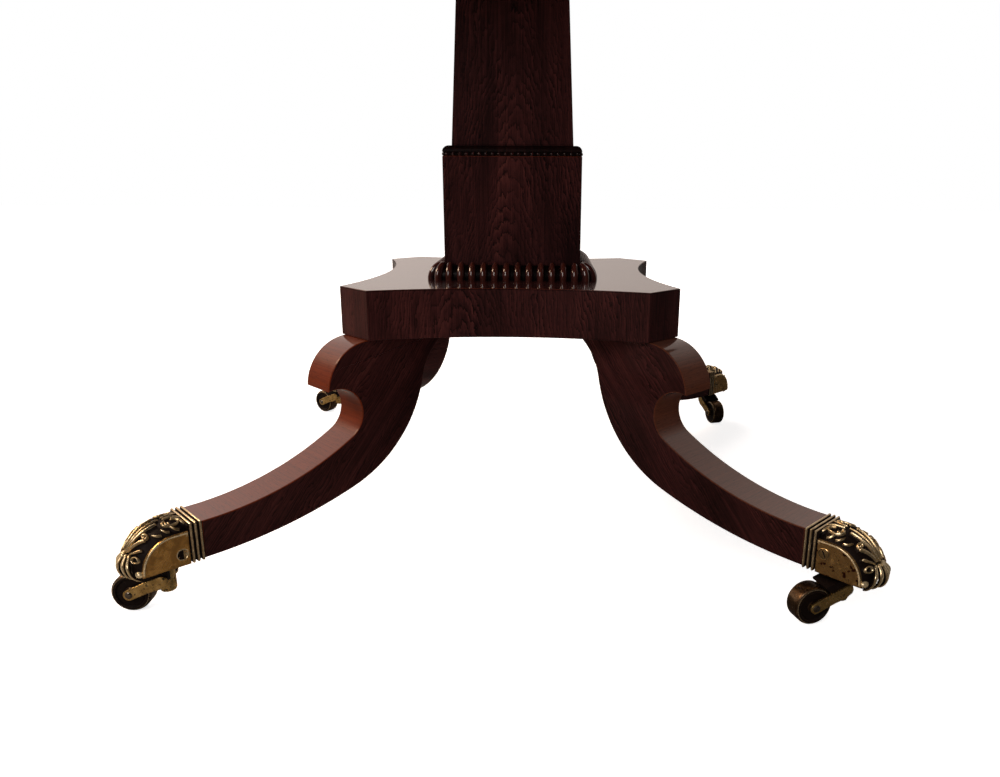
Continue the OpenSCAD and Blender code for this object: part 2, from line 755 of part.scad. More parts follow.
platform();
column();
column_wedges();
sleeve_block();
bead_strip();
sleeve_moulding();
rotate([0, 0, -90]) gadroon_side();  // gadroon_front
gadroon_side();  // gadroon_right
rotate([0, 0, 90]) gadroon_side();  // gadroon_back
rotate([0, 0, 180]) gadroon_side();  // gadroon_left
at_corner(0) leg(0);  // leg_front_left
at_corner(1) leg(1);  // leg_front_right
at_corner(2) leg(2);  // leg_back_right
at_corner(3) leg(3);  // leg_back_left
leg_dowels();
at_corner(0) cap(0);  // cap_front_left
at_corner(1) cap(1);  // cap_front_right
at_corner(2) cap(2);  // cap_back_right
at_corner(3) cap(3);  // cap_back_left
cap_screws();
at_castor(0) fork();  // fork_front_left
at_castor(1) fork();  // fork_front_right
at_castor(2) fork();  // fork_back_right
at_castor(3) fork();  // fork_back_left
at_castor(0) axle();  // axle_front_left
at_castor(1) axle();  // axle_front_right
at_castor(2) axle();  // axle_back_right
at_castor(3) axle();  // axle_back_left
at_castor(0) wheel();  // wheel_front_left
at_castor(1) wheel();  // wheel_front_right
at_castor(2) wheel();  // wheel_back_right
at_castor(3) wheel();  // wheel_back_left
pivot_block();
bolt_keeps();
keep_screws();
top_board();
top_edge();
frieze_rail(frieze_l, -frieze_d / 2 + frieze_t);  // frieze_front
frieze_rail(frieze_l, frieze_d / 2);  // frieze_back
rotate([0, 0, 90]) frieze_rail(frieze_d, frieze_l / 2);  // frieze_left
rotate([0, 0, -90]) frieze_rail(frieze_d, frieze_l / 2);  // frieze_right
frieze_corners();
bearer(-1);  // bearer_left
bearer(1);  // bearer_right
bearer_screws();
pivot_pins();
bolt_plates();
bolt_plate_screws();
bolt(-1);  // bolt_left
bolt(1);  // bolt_right
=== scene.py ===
"""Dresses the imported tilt-top table: French-polished rosewood, carving and cast brass over the CAD frame.

Sizes are in millimetres, as in the part's source, and become metres when a mesh is made.
"""
import math

import bmesh
import bpy
import numpy as np
from mathutils import Matrix, Vector


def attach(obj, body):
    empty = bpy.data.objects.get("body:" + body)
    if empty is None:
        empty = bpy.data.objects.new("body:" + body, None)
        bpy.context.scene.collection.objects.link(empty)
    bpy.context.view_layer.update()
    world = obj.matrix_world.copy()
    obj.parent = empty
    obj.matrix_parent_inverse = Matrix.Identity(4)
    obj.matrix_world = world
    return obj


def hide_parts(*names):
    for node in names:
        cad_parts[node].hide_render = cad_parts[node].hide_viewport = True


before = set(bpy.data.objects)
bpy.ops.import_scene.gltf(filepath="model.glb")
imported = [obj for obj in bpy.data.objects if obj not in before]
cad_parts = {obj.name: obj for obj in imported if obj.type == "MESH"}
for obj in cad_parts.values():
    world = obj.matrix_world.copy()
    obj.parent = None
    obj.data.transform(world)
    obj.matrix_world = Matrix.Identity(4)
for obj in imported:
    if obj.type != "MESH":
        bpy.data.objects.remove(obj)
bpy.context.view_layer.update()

# Studio
# The photograph's low viewpoint, a white ground that keeps a soft shadow, a pale room behind the table
# and a dimmer one in front of it, and lamps set low enough to reach under the top.
MM = 0.001
IMAGE_W = 1000
FOCAL_PX = 776.63
CENTRE_PX = 534.5
CAMERA_AT = Vector((36.41, -909.46, 370.74)) * MM
CAMERA_YAW = 0.0142
CAMERA_PITCH = 0.26416
CAMERA_ROLL = 0.00588


def add(tree, kind, inputs=None, **settings):
    """Adds a shader node, sets its properties, and sets or links each of its named inputs."""
    made = tree.nodes.new("ShaderNode" + kind)
    for key, value in settings.items():
        setattr(made, key, value)
    for key, value in (inputs or {}).items():
        if isinstance(value, bpy.types.NodeSocket):
            tree.links.new(value, made.inputs[key])
        else:
            made.inputs[key].default_value = value
    return made


def maths(operation, first, second=0.0, clamp=False):
    """One sum on two sockets, or on a socket and a number, in the tree that holds them."""
    tree = (first if isinstance(first, bpy.types.NodeSocket) else second).id_data
    return add(tree, "Math", {0: first, 1: second}, operation=operation, use_clamp=clamp).outputs[0]


def times(first, second, clamp=False):
    """The first times the second."""
    return maths("MULTIPLY", first, second, clamp)


def plus(first, second):
    """The first plus the second."""
    return maths("ADD", first, second)


def less(first, second, clamp=False):
    """The first less the second."""
    return maths("SUBTRACT", first, second, clamp)


def ranged(value, low, high, start=0.0, end=1.0, **settings):
    """Goes from start to end as the value goes from low to high, and stays there beyond them."""
    inputs = {"Value": value, "From Min": low, "From Max": high, "To Min": start, "To Max": end}
    return add(value.id_data, "MapRange", inputs, **settings).outputs[0]


def blend(share, first, second):
    """Two colours mixed by a share from 0 to 1."""
    return add(share.id_data, "Mix", {"Factor": share, 6: first, 7: second}, data_type="RGBA").outputs[2]


def new_material(name):
    """An empty node material and its tree."""
    material = bpy.data.materials.new(name)
    material.use_nodes = True
    material.node_tree.nodes.clear()
    return material, material.node_tree


def new_object(name, data):
    """A new object in the scene."""
    made = bpy.data.objects.new(name, data)
    bpy.context.scene.collection.objects.link(made)
    return made


def place_camera():
    """Looks along +Y, turned left by the yaw and down by the pitch, then rolled about its own axis."""
    yaw, pitch, roll = CAMERA_YAW, CAMERA_PITCH, CAMERA_ROLL
    ahead = Vector((-math.sin(yaw) * math.cos(pitch), math.cos(yaw) * math.cos(pitch), -math.sin(pitch)))
    level = Vector((math.cos(yaw), math.sin(yaw), 0))
    above = level.cross(ahead)
    right = level * math.cos(roll) + above * math.sin(roll)
    up = above * math.cos(roll) - level * math.sin(roll)
    lens = bpy.data.cameras.new("camera")
    lens.sensor_width = 36
    lens.lens = FOCAL_PX * lens.sensor_width / IMAGE_W
    lens.shift_x = (IMAGE_W / 2 - CENTRE_PX) / IMAGE_W
    lens.clip_start = 0.02
    camera = new_object("camera", lens)
    camera.matrix_world = Matrix((right, up, -ahead)).transposed().to_4x4()
    camera.location = CAMERA_AT
    bpy.context.scene.camera = camera


def light_room():
    """White where the camera looks; for gloss it pales from the front of the room to the back, and dims
    to the right and near the horizon."""
    front_gloss, back_gloss = 0.03, 0.88
    right_dim, low_dim = 0.62, 0.85
    soft = 0.13
    warm = (1.0, 0.85, 0.77, 1)
    world = bpy.data.worlds.new("room")
    bpy.context.scene.world = world
    world.use_nodes = True
    tree = world.node_tree
    tree.nodes.clear()
    rays = add(tree, "LightPath").outputs
    way = add(tree, "TexCoord").outputs["Generated"]
    way = add(tree, "SeparateXYZ", {0: way}).outputs
    pale = ranged(way["Y"], -0.2, 0.5, front_gloss, back_gloss)
    dim = ranged(way["X"], -0.2, 0.5, 1.0, right_dim)
    horizon = ranged(way["Z"], 0.09, 0.14, low_dim, 1.0)
    gloss = times(rays["Is Glossy Ray"], times(times(pale, dim), horizon))
    seen = maths("MAXIMUM", rays["Is Camera Ray"], rays["Is Transmission Ray"])
    either = maths("MAXIMUM", seen, rays["Is Glossy Ray"])
    rest = times(less(1.0, either), soft)
    level = plus(plus(gloss, seen), rest)
    tint = blend(seen, warm, (1, 1, 1, 1))
    ground = add(tree, "Background", {"Color": tint, "Strength": level})
    add(tree, "OutputWorld", {"Surface": ground.outputs[0]})


def lay_floor():
    """A white floor, dim to gloss and dimmest on the right. Only the camera sees its own light, which leaves
    a soft shadow near the table and is full far from it."""
    half = 9.0
    drop = 0.0003
    shade = 0.85
    left_gloss, right_gloss = 0.26, 0.10
    near_glow = 0.80
    mesh = bpy.data.meshes.new("floor")
    corners = [(-half, -half, 0), (half, -half, 0), (half, half, 0), (-half, half, 0)]
    mesh.from_pydata(corners, [], [(0, 1, 2, 3)])
    floor = new_object("floor", mesh)
    floor.location.z = -drop
    material, tree = new_material("floor_white")
    rays = add(tree, "LightPath").outputs
    at = add(tree, "TexCoord").outputs["Object"]
    aside = add(tree, "SeparateXYZ", {0: at}).outputs["X"]
    dim = ranged(aside, -0.4, 0.4, left_gloss, right_gloss)
    tint = add(tree, "Mix", {"Factor": rays["Is Glossy Ray"], 2: shade, 3: dim})
    paint = add(tree, "BsdfDiffuse", {"Color": tint.outputs[0]})
    away = add(tree, "VectorMath", {0: at}, operation="LENGTH").outputs["Value"]
    full = ranged(away, 0.5, 1.5, near_glow, 1.0)
    glow = add(tree, "Emission", {"Strength": times(rays["Is Camera Ray"], full)})
    both = add(tree, "AddShader", {0: paint.outputs[0], 1: glow.outputs[0]})
    add(tree, "OutputMaterial", {"Surface": both.outputs[0]})
    mesh.materials.append(material)


def hang_lamp(name, at, aim, size, power, colour, mirrored=True):
    """A square soft lamp that faces a point. Polish shows it as a bright square unless mirrored is off."""
    data = bpy.data.lights.new(name, "AREA")
    data.size = size
    data.energy = power
    data.color = colour
    lamp = new_object(name, data)
    lamp.rotation_euler = (Vector(aim) - Vector(at)).to_track_quat("-Z", "Y").to_euler()
    lamp.location = at
    lamp.visible_glossy = mirrored


place_camera()
light_room()
lay_floor()
hang_lamp("lamp_left", (-2.4, 0.3, 1.95), (0, 0, 0.2), 1.0, 60, (1.0, 0.70, 0.46))
hang_lamp("lamp_front", (-1.3, -2.3, 2.0), (0, 0, 0.25), 1.3, 35, (1.0, 0.90, 0.86))
hang_lamp("lamp_right", (2.0, -1.5, 0.42), (0, 0, 0.2), 0.8, 4.4, (1.0, 0.93, 0.86), mirrored=False)
hang_lamp("lamp_behind", (-0.5, 2.5, 2.0), (0, 0, 0.2), 1.0, 34, (1.0, 0.92, 0.90), mirrored=False)
bpy.context.scene.view_settings.view_transform = "Standard"

# Platform
# A block of pine veneered with rosewood, hollowed on its four sides and canted at the corners. The grain
# stands upright round its edge, as cross-banded veneer does, and runs along the top.
PLATFORM_H = 266
PLATFORM_T = 49
PLATFORM_W = 340
CANT = 34
HOLLOW = 24
PLATFORM_UNDER = PLATFORM_H - PLATFORM_T
ARRIS = 0.9


def xyz(x, y, z):
    """Points from three coordinates, each a number or an array."""
    return np.stack(np.broadcast_arrays(x, y, z), -1)


def circle(count):
    """Even angles round a circle."""
    return np.arange(count) * 2 * math.pi / count


def swung(x, y, degrees):
    """Two coordinates turned about the upright axis."""
    c, s = math.cos(math.radians(degrees)), math.sin(math.radians(degrees))
    return c * x - s * y, s * x + c * y


def skin(points, grain=None, hollow=0.0, caps=True, wrap_rows=False):
    """Joins a grid of points (rows, columns, 3) with four-sided faces, round the columns and, where asked,
    round the rows, and covers the first and the last row with flat faces."""
    rows, columns = points.shape[:2]
    i = np.arange(rows if wrap_rows else rows - 1)[:, None]
    j = np.arange(columns)[None, :]
    next_i, next_j = (i + 1) % rows, (j + 1) % columns
    corners = [i * columns + j, i * columns + next_j, next_i * columns + next_j, next_i * columns + j]
    faces = np.stack(corners, -1).reshape(-1, 4).tolist()
    if caps:
        faces.append(list(range(columns))[::-1])
        faces.append(list(range((rows - 1) * columns, rows * columns)))
    points = points.reshape(-1, 3)
    grain = upright_grain(points) if grain is None else grain.reshape(-1, 3)
    hollow = np.broadcast_to(hollow, (rows, columns)).reshape(-1)
    return {"points": points, "grain": grain, "hollow": hollow, "faces": faces}


def upright_grain(points):
    """Grain that stands up: along it the height, across it the distance from the middle of that side,
    shifted on every other side so that neighbours differ."""
    shift = 300
    x, y, z = points.T
    facing = np.abs(y) >= np.abs(x)
    return xyz(z, np.where(facing, x, y + shift), np.where(facing, y, x))


def joined(parts):
    """Several skins as one."""
    start = np.cumsum([0] + [len(p["points"]) for p in parts])
    return {
        "points": np.concatenate([p["points"] for p in parts]),
        "grain": np.concatenate([p["grain"] for p in parts]),
        "hollow": np.concatenate([p["hollow"] for p in parts]),
        "faces": [[k + s for k in face] for p, s in zip(parts, start) for face in p["faces"]],
    }


def turned(part, degrees):
    """A skin turned about the table's upright axis; its grain turns with it."""
    x, y, z = part["points"].T
    return {**part, "points": xyz(*swung(x, y, degrees), z)}


def make(name, part, body, material, replaces=(), flats=True, sharp=40):
    """Builds a piece in metres with faces outward, stores grain (metres) and hollow (-1 to 1) on its points,
    and shades it smooth but for edges sharper than that angle."""
    mesh = bpy.data.meshes.new(name)
    mesh.from_pydata((part["points"] * MM).tolist(), [], part["faces"])
    work = bmesh.new()
    work.from_mesh(mesh)
    bmesh.ops.recalc_face_normals(work, faces=work.faces)
    work.to_mesh(mesh)
    work.free()
    grain = mesh.attributes.new("grain", "FLOAT_VECTOR", "POINT").data
    grain.foreach_set("vector", (part["grain"] * MM).ravel())
    hollow = mesh.attributes.new("hollow", "FLOAT", "POINT").data
    hollow.foreach_set("value", part["hollow"].astype(float))
    mesh.shade_smooth()
    mesh.set_sharp_from_angle(angle=math.radians(sharp))
    mesh.materials.append(material)
    made = new_object(name, mesh)
    if flats:
        made.modifiers.new("flats", "WEIGHTED_NORMAL").keep_sharp = True
    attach(made, body)
    if replaces:
        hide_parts(*replaces)
    return made


def inset(outline, depth):
    """An outline (n, 2) drawn in by a depth, along the halved angle at each point."""
    edge = np.roll(outline, -1, 0) - outline
    x, y = outline.T
    area = np.sum(x * np.roll(y, -1) - np.roll(x, -1) * y)
    normal = np.stack([edge[:, 1], -edge[:, 0]], -1) * np.sign(area)
    normal /= np.linalg.norm(normal, axis=1, keepdims=True) + 1e-9
    before = np.roll(normal, 1, 0)
    mitre = (normal + before) / np.maximum(1 + np.sum(normal * before, 1, keepdims=True), 0.5)
    return outline - mitre * depth


def arrises(low, high, arris=ARRIS, between=(), steps=4):
    """(inset, height) up a wall whose two arrises are rounded, with any heights asked for between them."""
    a = np.linspace(0, math.pi / 2, steps + 1)
    turns = arris * np.stack([1 - np.sin(a), 1 - np.cos(a)], -1)
    lower = [(aside, low + up) for aside, up in turns]
    upper = [(aside, high - up) for aside, up in turns[::-1]]
    return lower + [(0, z) for z in between] + upper


def slab(outline, low, high, arris=ARRIS):
    """An outline (n, 2) stood from low to high with rounded arrises: rings (rows, n, 3) and their grain.
    The flats' grain lies along the outline's first axis, and the wall's stands up."""
    near = min(2 * arris, 0.45 * (high - low))
    levels = arrises(low, high, arris, (low + near, high - near))
    rings = np.stack([xyz(*inset(outline, a).T, z) for a, z in levels])
    step = np.linalg.norm(np.roll(outline, -1, 0) - outline, axis=1)
    run = np.cumsum(step) - step
    grain = xyz(rings[..., 2], run - run[len(run) // 2], 300.0)
    grain[[0, -1]] = rings[[0, -1]]
    return rings, grain


def new_group(name, given, put):
    """A shader node group with named inputs (label, kind, value) and outputs (label, kind)."""
    group = bpy.data.node_groups.new(name, "ShaderNodeTree")
    for label, kind, value in given:
        socket = group.interface.new_socket(label, in_out="INPUT", socket_type="NodeSocket" + kind)
        socket.default_value = value
    for label, kind in put:
        group.interface.new_socket(label, in_out="OUTPUT", socket_type="NodeSocket" + kind)
    return group, group.nodes.new("NodeGroupInput").outputs, group.nodes.new("NodeGroupOutput")


def hand_out(group, put, **values):
    """Links values to the group's outputs of those names."""
    for label, value in values.items():
        group.links.new(value, put.inputs[label])


def speckle(vector, scale, detail=2.0, roughness=0.5):
    """Noise with its own scale on each axis, per metre."""
    scaled = add(vector.id_data, "Mapping", {"Vector": vector, "Scale": scale}).outputs[0]
    inputs = {"Vector": scaled, "Scale": 1.0, "Detail": detail, "Roughness": roughness}
    return add(vector.id_data, "TexNoise", inputs).outputs["Fac"]


def end_material(tree, height, strength, depth, inputs):
    """Ends a material: a Principled surface with those inputs, and a bump of a strength and a depth in
    metres where height is 1."""
    bump = add(tree, "Bump", {"Strength": strength, "Distance": depth, "Height": height})
    surface = add(tree, "BsdfPrincipled", {**inputs, "Normal": bump.outputs[0]})
    add(tree, "OutputMaterial", {"Surface": surface.outputs[0]})


def colour_ramp(value, stops):
    """Colours at places from 0 to 1 along a value."""
    ramp = add(value.id_data, "ValToRGB", {"Fac": value})
    for k, (at, colour) in enumerate(stops):
        stop = ramp.color_ramp.elements[k] if k < 2 else ramp.color_ramp.elements.new(at)
        stop.position = at
        stop.color = (*colour, 1)
    return ramp.outputs[0]


def rosewood_figure():
    """Rosewood's colour and surface from grain coordinates (along, across, deep) in metres. Growth lines,
    each a thin black edge that pales to a red one, wander along the grain, or nest in arches up the middle
    where Arch is 1. They come and go over slow changes of tone, fine streaks and short dark pores. Pale
    mixes it with the paler colour Veneer: real cross-cut veneer on the legs, a painted highlight elsewhere."""
    lines = 300.0
    arch_lines = 62.0
    arch_round = 0.026
    group, given, put = new_group(
        "rosewood_figure",
        [("Grain", "Vector", (0, 0, 0)), ("Arch", "Float", 0.0), ("Pale", "Float", 0.0),
         ("Veneer", "Color", (0, 0, 0, 1))],
        [("Color", "Color"), ("Roughness", "Float"), ("Height", "Float")])
    grain = given["Grain"]
    axes = add(group, "SeparateXYZ", {0: grain}).outputs
    wander = less(speckle(grain, (5, 13, 1), 4.0, 0.6), 0.5)
    across = plus(axes["Y"], times(wander, 0.055))
    aside = maths("SQRT", plus(maths("POWER", across, 2.0), arch_round ** 2))
    climb = times(times(axes["X"], arch_lines), given["Arch"])
    ragged = less(speckle(grain, (30, 120, 1), 4.0, 0.68), 0.5)
    nest = plus(times(aside, lines), climb)
    ring = maths("FRACT", plus(nest, times(ragged, 3.0)))
    crests = ranged(ring, 0.35, 0.9, interpolation_type="SMOOTHSTEP")
    line = ranged(maths("ABSOLUTE", less(ring, 0.09)), 0.12, 0.02)
    fade = ranged(speckle(grain, (9, 40, 2), 3.0), 0.36, 0.66)
    relief = less(times(crests, 0.13), times(line, 0.20))
    tone = speckle(grain, (4, 22, 2), 4.0, 0.6)
    streaks = speckle(grain, (9, 620, 1), 3.0, 0.65)
    body = plus(times(tone, 0.58), times(streaks, 0.38))
    figured = colour_ramp(plus(body, times(relief, fade)), [
        (0.28, (0.004, 0.0014, 0.0015)), (0.43, (0.018, 0.0051, 0.0053)), (0.54, (0.037, 0.0098, 0.0100)),
        (0.66, (0.066, 0.0175, 0.0165)), (0.84, (0.11, 0.034, 0.027))])
    streaked = ranged(streaks, 0.3, 0.7, 0.75, 1.25)
    cross_cut = add(group, "VectorMath", {0: given["Veneer"], "Scale": streaked}, operation="SCALE")
    toned = blend(given["Pale"], figured, cross_cut.outputs[0])
    pores = ranged(speckle(grain, (150, 2600, 1), 1.0), 0.60, 0.68)
    hand_out(group, put, Color=blend(times(pores, 0.5), toned, (0.006, 0.002, 0.002, 1)),
             Roughness=plus(times(streaks, 0.16), 0.30),
             Height=less(times(streaks, 0.4), pores))
    return group


FIGURE = rosewood_figure()


def grain_along(tree, degrees):
    """A CAD node's own coordinates, turned so that the grain runs along the first of them."""
    at = add(tree, "TexCoord").outputs["Object"]
    turn = [math.radians(a) for a in degrees]
    return add(tree, "Mapping", {"Vector": at, "Rotation": turn}).outputs[0]


def rosewood(name, arch=0.0, along=None, polish=0.10, veneer=(0.128, 0.022, 0.006)):
    """French-polished rosewood. It follows the piece's stored grain, or a CAD node's own axis: along is the
    turn, in degrees, that brings the grain to that axis. Faces that look up, or are seen at a grazing angle,
    shine most, and the others by the share called polish. Where hollow is above 0 the colour goes to
    near-black and the coat comes off, as painted shade. Below 0 it mixes in the paler, cross-cut colour
    given: real veneer on the legs, and a painted highlight on carved crests and on arrises."""
    material, tree = new_material(name)
    if along is None:
        grain = add(tree, "Attribute", attribute_name="grain").outputs["Vector"]
    else:
        grain = grain_along(tree, along)
    hollow = add(tree, "Attribute", attribute_name="hollow").outputs["Fac"]
    pale = times(hollow, -1.0, clamp=True)
    figure = add(tree, "Group", {"Grain": grain, "Pale": pale, "Arch": arch, "Veneer": (*veneer, 1)},
                 node_tree=FIGURE).outputs
    # Painted shade: where hollow is above 0 the colour is mixed to near-black and the coat taken off.
    sunk = maths("MAXIMUM", hollow, 0.0)
    colour = blend(sunk, figure["Color"], (0.0015, 0.0008, 0.0008, 1))
    normal = add(tree, "TexCoord").outputs["Normal"]
    up = add(tree, "SeparateXYZ", {0: normal}).outputs["Z"]
    grazing = ranged(add(tree, "LayerWeight").outputs["Facing"], 0.60, 0.85)
    shine = maths("MAXIMUM", ranged(up, 0.52, 0.84, polish, 1.0), grazing)
    end_material(tree, figure["Height"], 0.2, 0.0001, {
        "Base Color": colour, "Roughness": figure["Roughness"], "Specular IOR Level": 0.06,
        "Coat Weight": times(less(1.0, sunk), shine), "Coat Roughness": 0.06, "Coat IOR": 1.5})
    return material


def platform_outline():
    """Anticlockwise from the middle of the back: on each side an arc that hollows in by HOLLOW between
    the canted corners."""
    steps = 24
    side = PLATFORM_W / 2
    chord = side - CANT
    radius = (chord ** 2 + HOLLOW ** 2) / (2 * HOLLOW)
    reach = math.asin(chord / radius)
    a = np.linspace(-reach, reach, 2 * steps + 1)
    x, y = -radius * np.sin(a), side - HOLLOW + radius - radius * np.cos(a)
    sides = [np.stack(swung(x, y, 90 * k), -1) for k in range(4)]
    return np.roll(np.concatenate(sides), -steps, 0)


ROSEWOOD_EDGE = rosewood("rosewood_platform", arch=1.0)
ARCH_ASIDE = 45
rings, grain = slab(platform_outline(), PLATFORM_UNDER, PLATFORM_H)
grain[1:-1, :, 1] += ARCH_ASIDE
sheen_and_shade = np.zeros(len(rings))
# Painted light on the top arris: a painted dark line where the rounding starts, and a painted highlight of
# paler colour over the rounding.
sheen_and_shade[7:11] = 0.8, 0.3, -0.7, -0.3
make("platform_block", skin(rings, grain, sheen_and_shade[:, None]), "base", ROSEWOOD_EDGE, ["platform"])

# Column
# A square rosewood-veneered shaft that tapers upwards, with tenons wedged into the platform below and
# into the pivot block above. Its figure stands in arches up the middle of each face.
SLEEVE_TOP = 393
COLUMN_FOOT_W = 128
COLUMN_HEAD_W = 103
COLUMN_CORE_W = 100
TENON_W = 64
BLOCK_TOP = 705.6
BLOCK_T = 36
BLOCK_UNDER = BLOCK_TOP - BLOCK_T


def square_ring(half, corner, z):
    """Points round a square of that half width with rounded corners, at height z, from the right side's
    back corner round to the front."""
    a = np.radians(np.linspace(0, 90, 4))
    x, y = half - corner + corner * np.cos(a), half - corner + corner * np.sin(a)
    return np.concatenate([xyz(*swung(x, y, 90 * k), z) for k in range(4)])


def square_turned(profile, corner=ARRIS):
    """A profile of (half width, height) carried round a square with rounded corners."""
    return np.stack([square_ring(h, corner, z) for h, z in profile])


column_profile = [(TENON_W / 2, PLATFORM_UNDER), (TENON_W / 2, PLATFORM_H), (COLUMN_CORE_W / 2, PLATFORM_H),
                  (COLUMN_CORE_W / 2, SLEEVE_TOP), (COLUMN_FOOT_W / 2, SLEEVE_TOP),
                  (COLUMN_HEAD_W / 2, BLOCK_UNDER), (TENON_W / 2, BLOCK_UNDER), (TENON_W / 2, BLOCK_TOP)]
ROSEWOOD_COLUMN = rosewood("rosewood_column", arch=1.0)
make("column_shaft", skin(square_turned(column_profile)), "base", ROSEWOOD_COLUMN, ["column"])

# Sleeve
# A veneered box round the foot of the column, with a strip of small turned beads let on round its top
# edge and a quarter-round moulding over them, mitred at the corners. The strip and the moulding are
# painted near-black as shade.
SLEEVE_W = 145
STRIP_H = 4
BEAD_D = 4
BEADS = 21
MOULD_R = 6.5
STRIP_TOP = SLEEVE_TOP + STRIP_H
STRIP_W = SLEEVE_W - BEAD_D * 0.6
FIT_GAP = 0.05
HOLE_HALF = COLUMN_FOOT_W / 2 + FIT_GAP


def square_tube(outer, inner, corner=ARRIS, hollow=0.0):
    """A closed profile carried round a square: the outer wall's points, then the inner wall's."""
    return skin(square_turned(list(outer) + list(inner), corner), hollow=hollow, caps=False, wrap_rows=True)


def ball(centre, radii, rows=14, columns=18, tip=3, hollow=0.0):
    """An oval ball from its latitude and longitude, cut flat at a small angle from each pole."""
    a = np.radians(np.linspace(tip, 180 - tip, rows))[:, None]
    b = circle(columns)
    unit = xyz(np.sin(a) * np.cos(b), np.sin(a) * np.sin(b), np.cos(a))
    return skin(np.asarray(centre) + unit * radii, hollow=hollow)


def beads():
    """A row of half-sunk balls on each side, about the strip's middle height."""
    pitch = STRIP_W / BEADS
    parts = []
    for side in range(4):
        for k in range(BEADS):
            at = [STRIP_W / 2, -STRIP_W / 2 + (k + 0.5) * pitch, SLEEVE_TOP + STRIP_H / 2]
            parts.append(turned(ball(at, BEAD_D / 2, 8, 10, 4, 0.15), side * 90))
    return parts


ROSEWOOD_SLEEVE = rosewood("rosewood_sleeve", arch=1.0)
ROSEWOOD_CARVED = rosewood("rosewood_carved", polish=1.0)
core_inner = [(COLUMN_CORE_W / 2 + FIT_GAP, z) for z in (SLEEVE_TOP, PLATFORM_H)]
sheen_and_shade = np.zeros((12, 1))
# Painted highlight: a paler line along the sleeve's top arris, below the beads.
sheen_and_shade[6:9] = -0.5
wall = [(SLEEVE_W / 2 - aside, z) for aside, z in arrises(PLATFORM_H, SLEEVE_TOP)]
make("sleeve_box", square_tube(wall, core_inner, hollow=sheen_and_shade), "base", ROSEWOOD_SLEEVE,
     ["sleeve_block"])
strip = square_tube([(STRIP_W / 2, SLEEVE_TOP), (STRIP_W / 2, STRIP_TOP)],
                    [(HOLE_HALF, STRIP_TOP), (HOLE_HALF, SLEEVE_TOP)])
# Painted shade: the strip behind the beads is darkened to near-black.
strip["hollow"] = np.full(len(strip["points"]), 0.9)
make("beaded_strip", joined([strip] + beads()), "base", ROSEWOOD_CARVED, ["bead_strip"])
turn = np.radians(np.linspace(0, 90, 9))
mould = [(SLEEVE_W / 2 - MOULD_R + MOULD_R * math.cos(a), STRIP_TOP + MOULD_R * math.sin(a)) for a in turn]
# Painted shade: the quarter-round is darkened to near-black and dull.
make("sleeve_quarter_round",
     square_tube(mould, [(HOLE_HALF, STRIP_TOP + MOULD_R), (HOLE_HALF, STRIP_TOP)], 0.3, hollow=0.82),
     "base", ROSEWOOD_CARVED, ["sleeve_moulding"])

# Gadrooned collar
# Solid rosewood carved into finger-like lobes that bend over an ovolo, four lengths mitred at the
# corners. The lobes narrow to round tips against the sleeve, and deep valleys part them.
LOBES = 12
LOBE_BEND_R = 13.5
LOBE_RISE = 5.4
LOBE_HALF_W = 4.6
COLLAR_FOOT_H = 1.5


def lobe(at_y, degrees=0.0):
    """One lobe: an oval section carried up the foot and over a quarter circle. With t from foot to tip, the
    half width swells to LOBE_HALF_W and closes round the tip like the end of a finger."""
    rows, columns = 30, 22
    tip_from = 0.74
    grain_shift = 40
    t = np.linspace(0, 1, rows)[:, None]
    b = circle(columns)
    run = t * (COLLAR_FOOT_H + LOBE_BEND_R * math.pi / 2)
    a = np.clip((run - COLLAR_FOOT_H) / LOBE_BEND_R, 0, math.pi / 2)
    tip = np.clip((t - tip_from) / (1 - tip_from), 0, 1)
    close = np.sqrt(np.maximum(1 - tip ** 2, 0.0004))
    swell = 0.86 + 0.14 * np.sin(math.pi * np.clip(t / 0.8, 0, 1))
    y = LOBE_HALF_W * swell * (1 - 0.26 * t) * close * np.sin(b)
    r = LOBE_BEND_R + LOBE_RISE * (1 - 0.18 * t) * close * np.cos(b)
    z = np.maximum(np.minimum(run, COLLAR_FOOT_H) + r * np.sin(a), 0)
    out, aside = swung(r * np.cos(a), y, degrees)
    # Painted shade darkens each lobe's flanks down into the valleys, and a painted highlight pales its crest.
    valley_shade = 0.95 * np.clip(0.55 - np.cos(b), 0, 1)
    crest_sheen = 0.26 * np.clip(np.cos(b) * 2 - 1, 0, 1)
    points = xyz(SLEEVE_W / 2 + out, at_y + aside, PLATFORM_H + z)
    return skin(points, xyz(run, grain_shift * at_y + y, 0.0), valley_shade - crest_sheen)


def collar_core():
    """The ovolo behind the lobes: quarter-circle section carried along the side and round 45 degrees at
    each end, to the mitre."""
    a = np.radians(np.linspace(0, 90, 9))
    r = np.concatenate([[0, LOBE_BEND_R], LOBE_BEND_R * np.cos(a)])
    z = np.concatenate([[0, 0], COLLAR_FOOT_H + LOBE_BEND_R * np.sin(a)])
    half = SLEEVE_W / 2
    b = np.radians([-45, -34, -22, -11, 0, 0, 11, 22, 34, 45])[:, None]
    corner = np.repeat([-half, half], 5)[:, None]
    # Painted shade: the ovolo, which shows only down the valleys, is darkened to near-black.
    return skin(xyz(half + r * np.cos(b), corner + r * np.sin(b), PLATFORM_H + z), hollow=0.96)


half = SLEEVE_W / 2
side_lobes = [lobe(-half + (k + 0.5) * SLEEVE_W / LOBES) for k in range(LOBES)]
corner_lobes = [lobe(s * half, s * 22.5) for s in (-1, 1)]
collar = joined([collar_core()] + side_lobes + corner_lobes)
for node, degrees in (("right", 0), ("back", 90), ("left", 180), ("front", 270)):
    make("gadroons_" + node, turned(collar, degrees), "base", ROSEWOOD_CARVED,
         ["gadroon_" + node], flats=False)

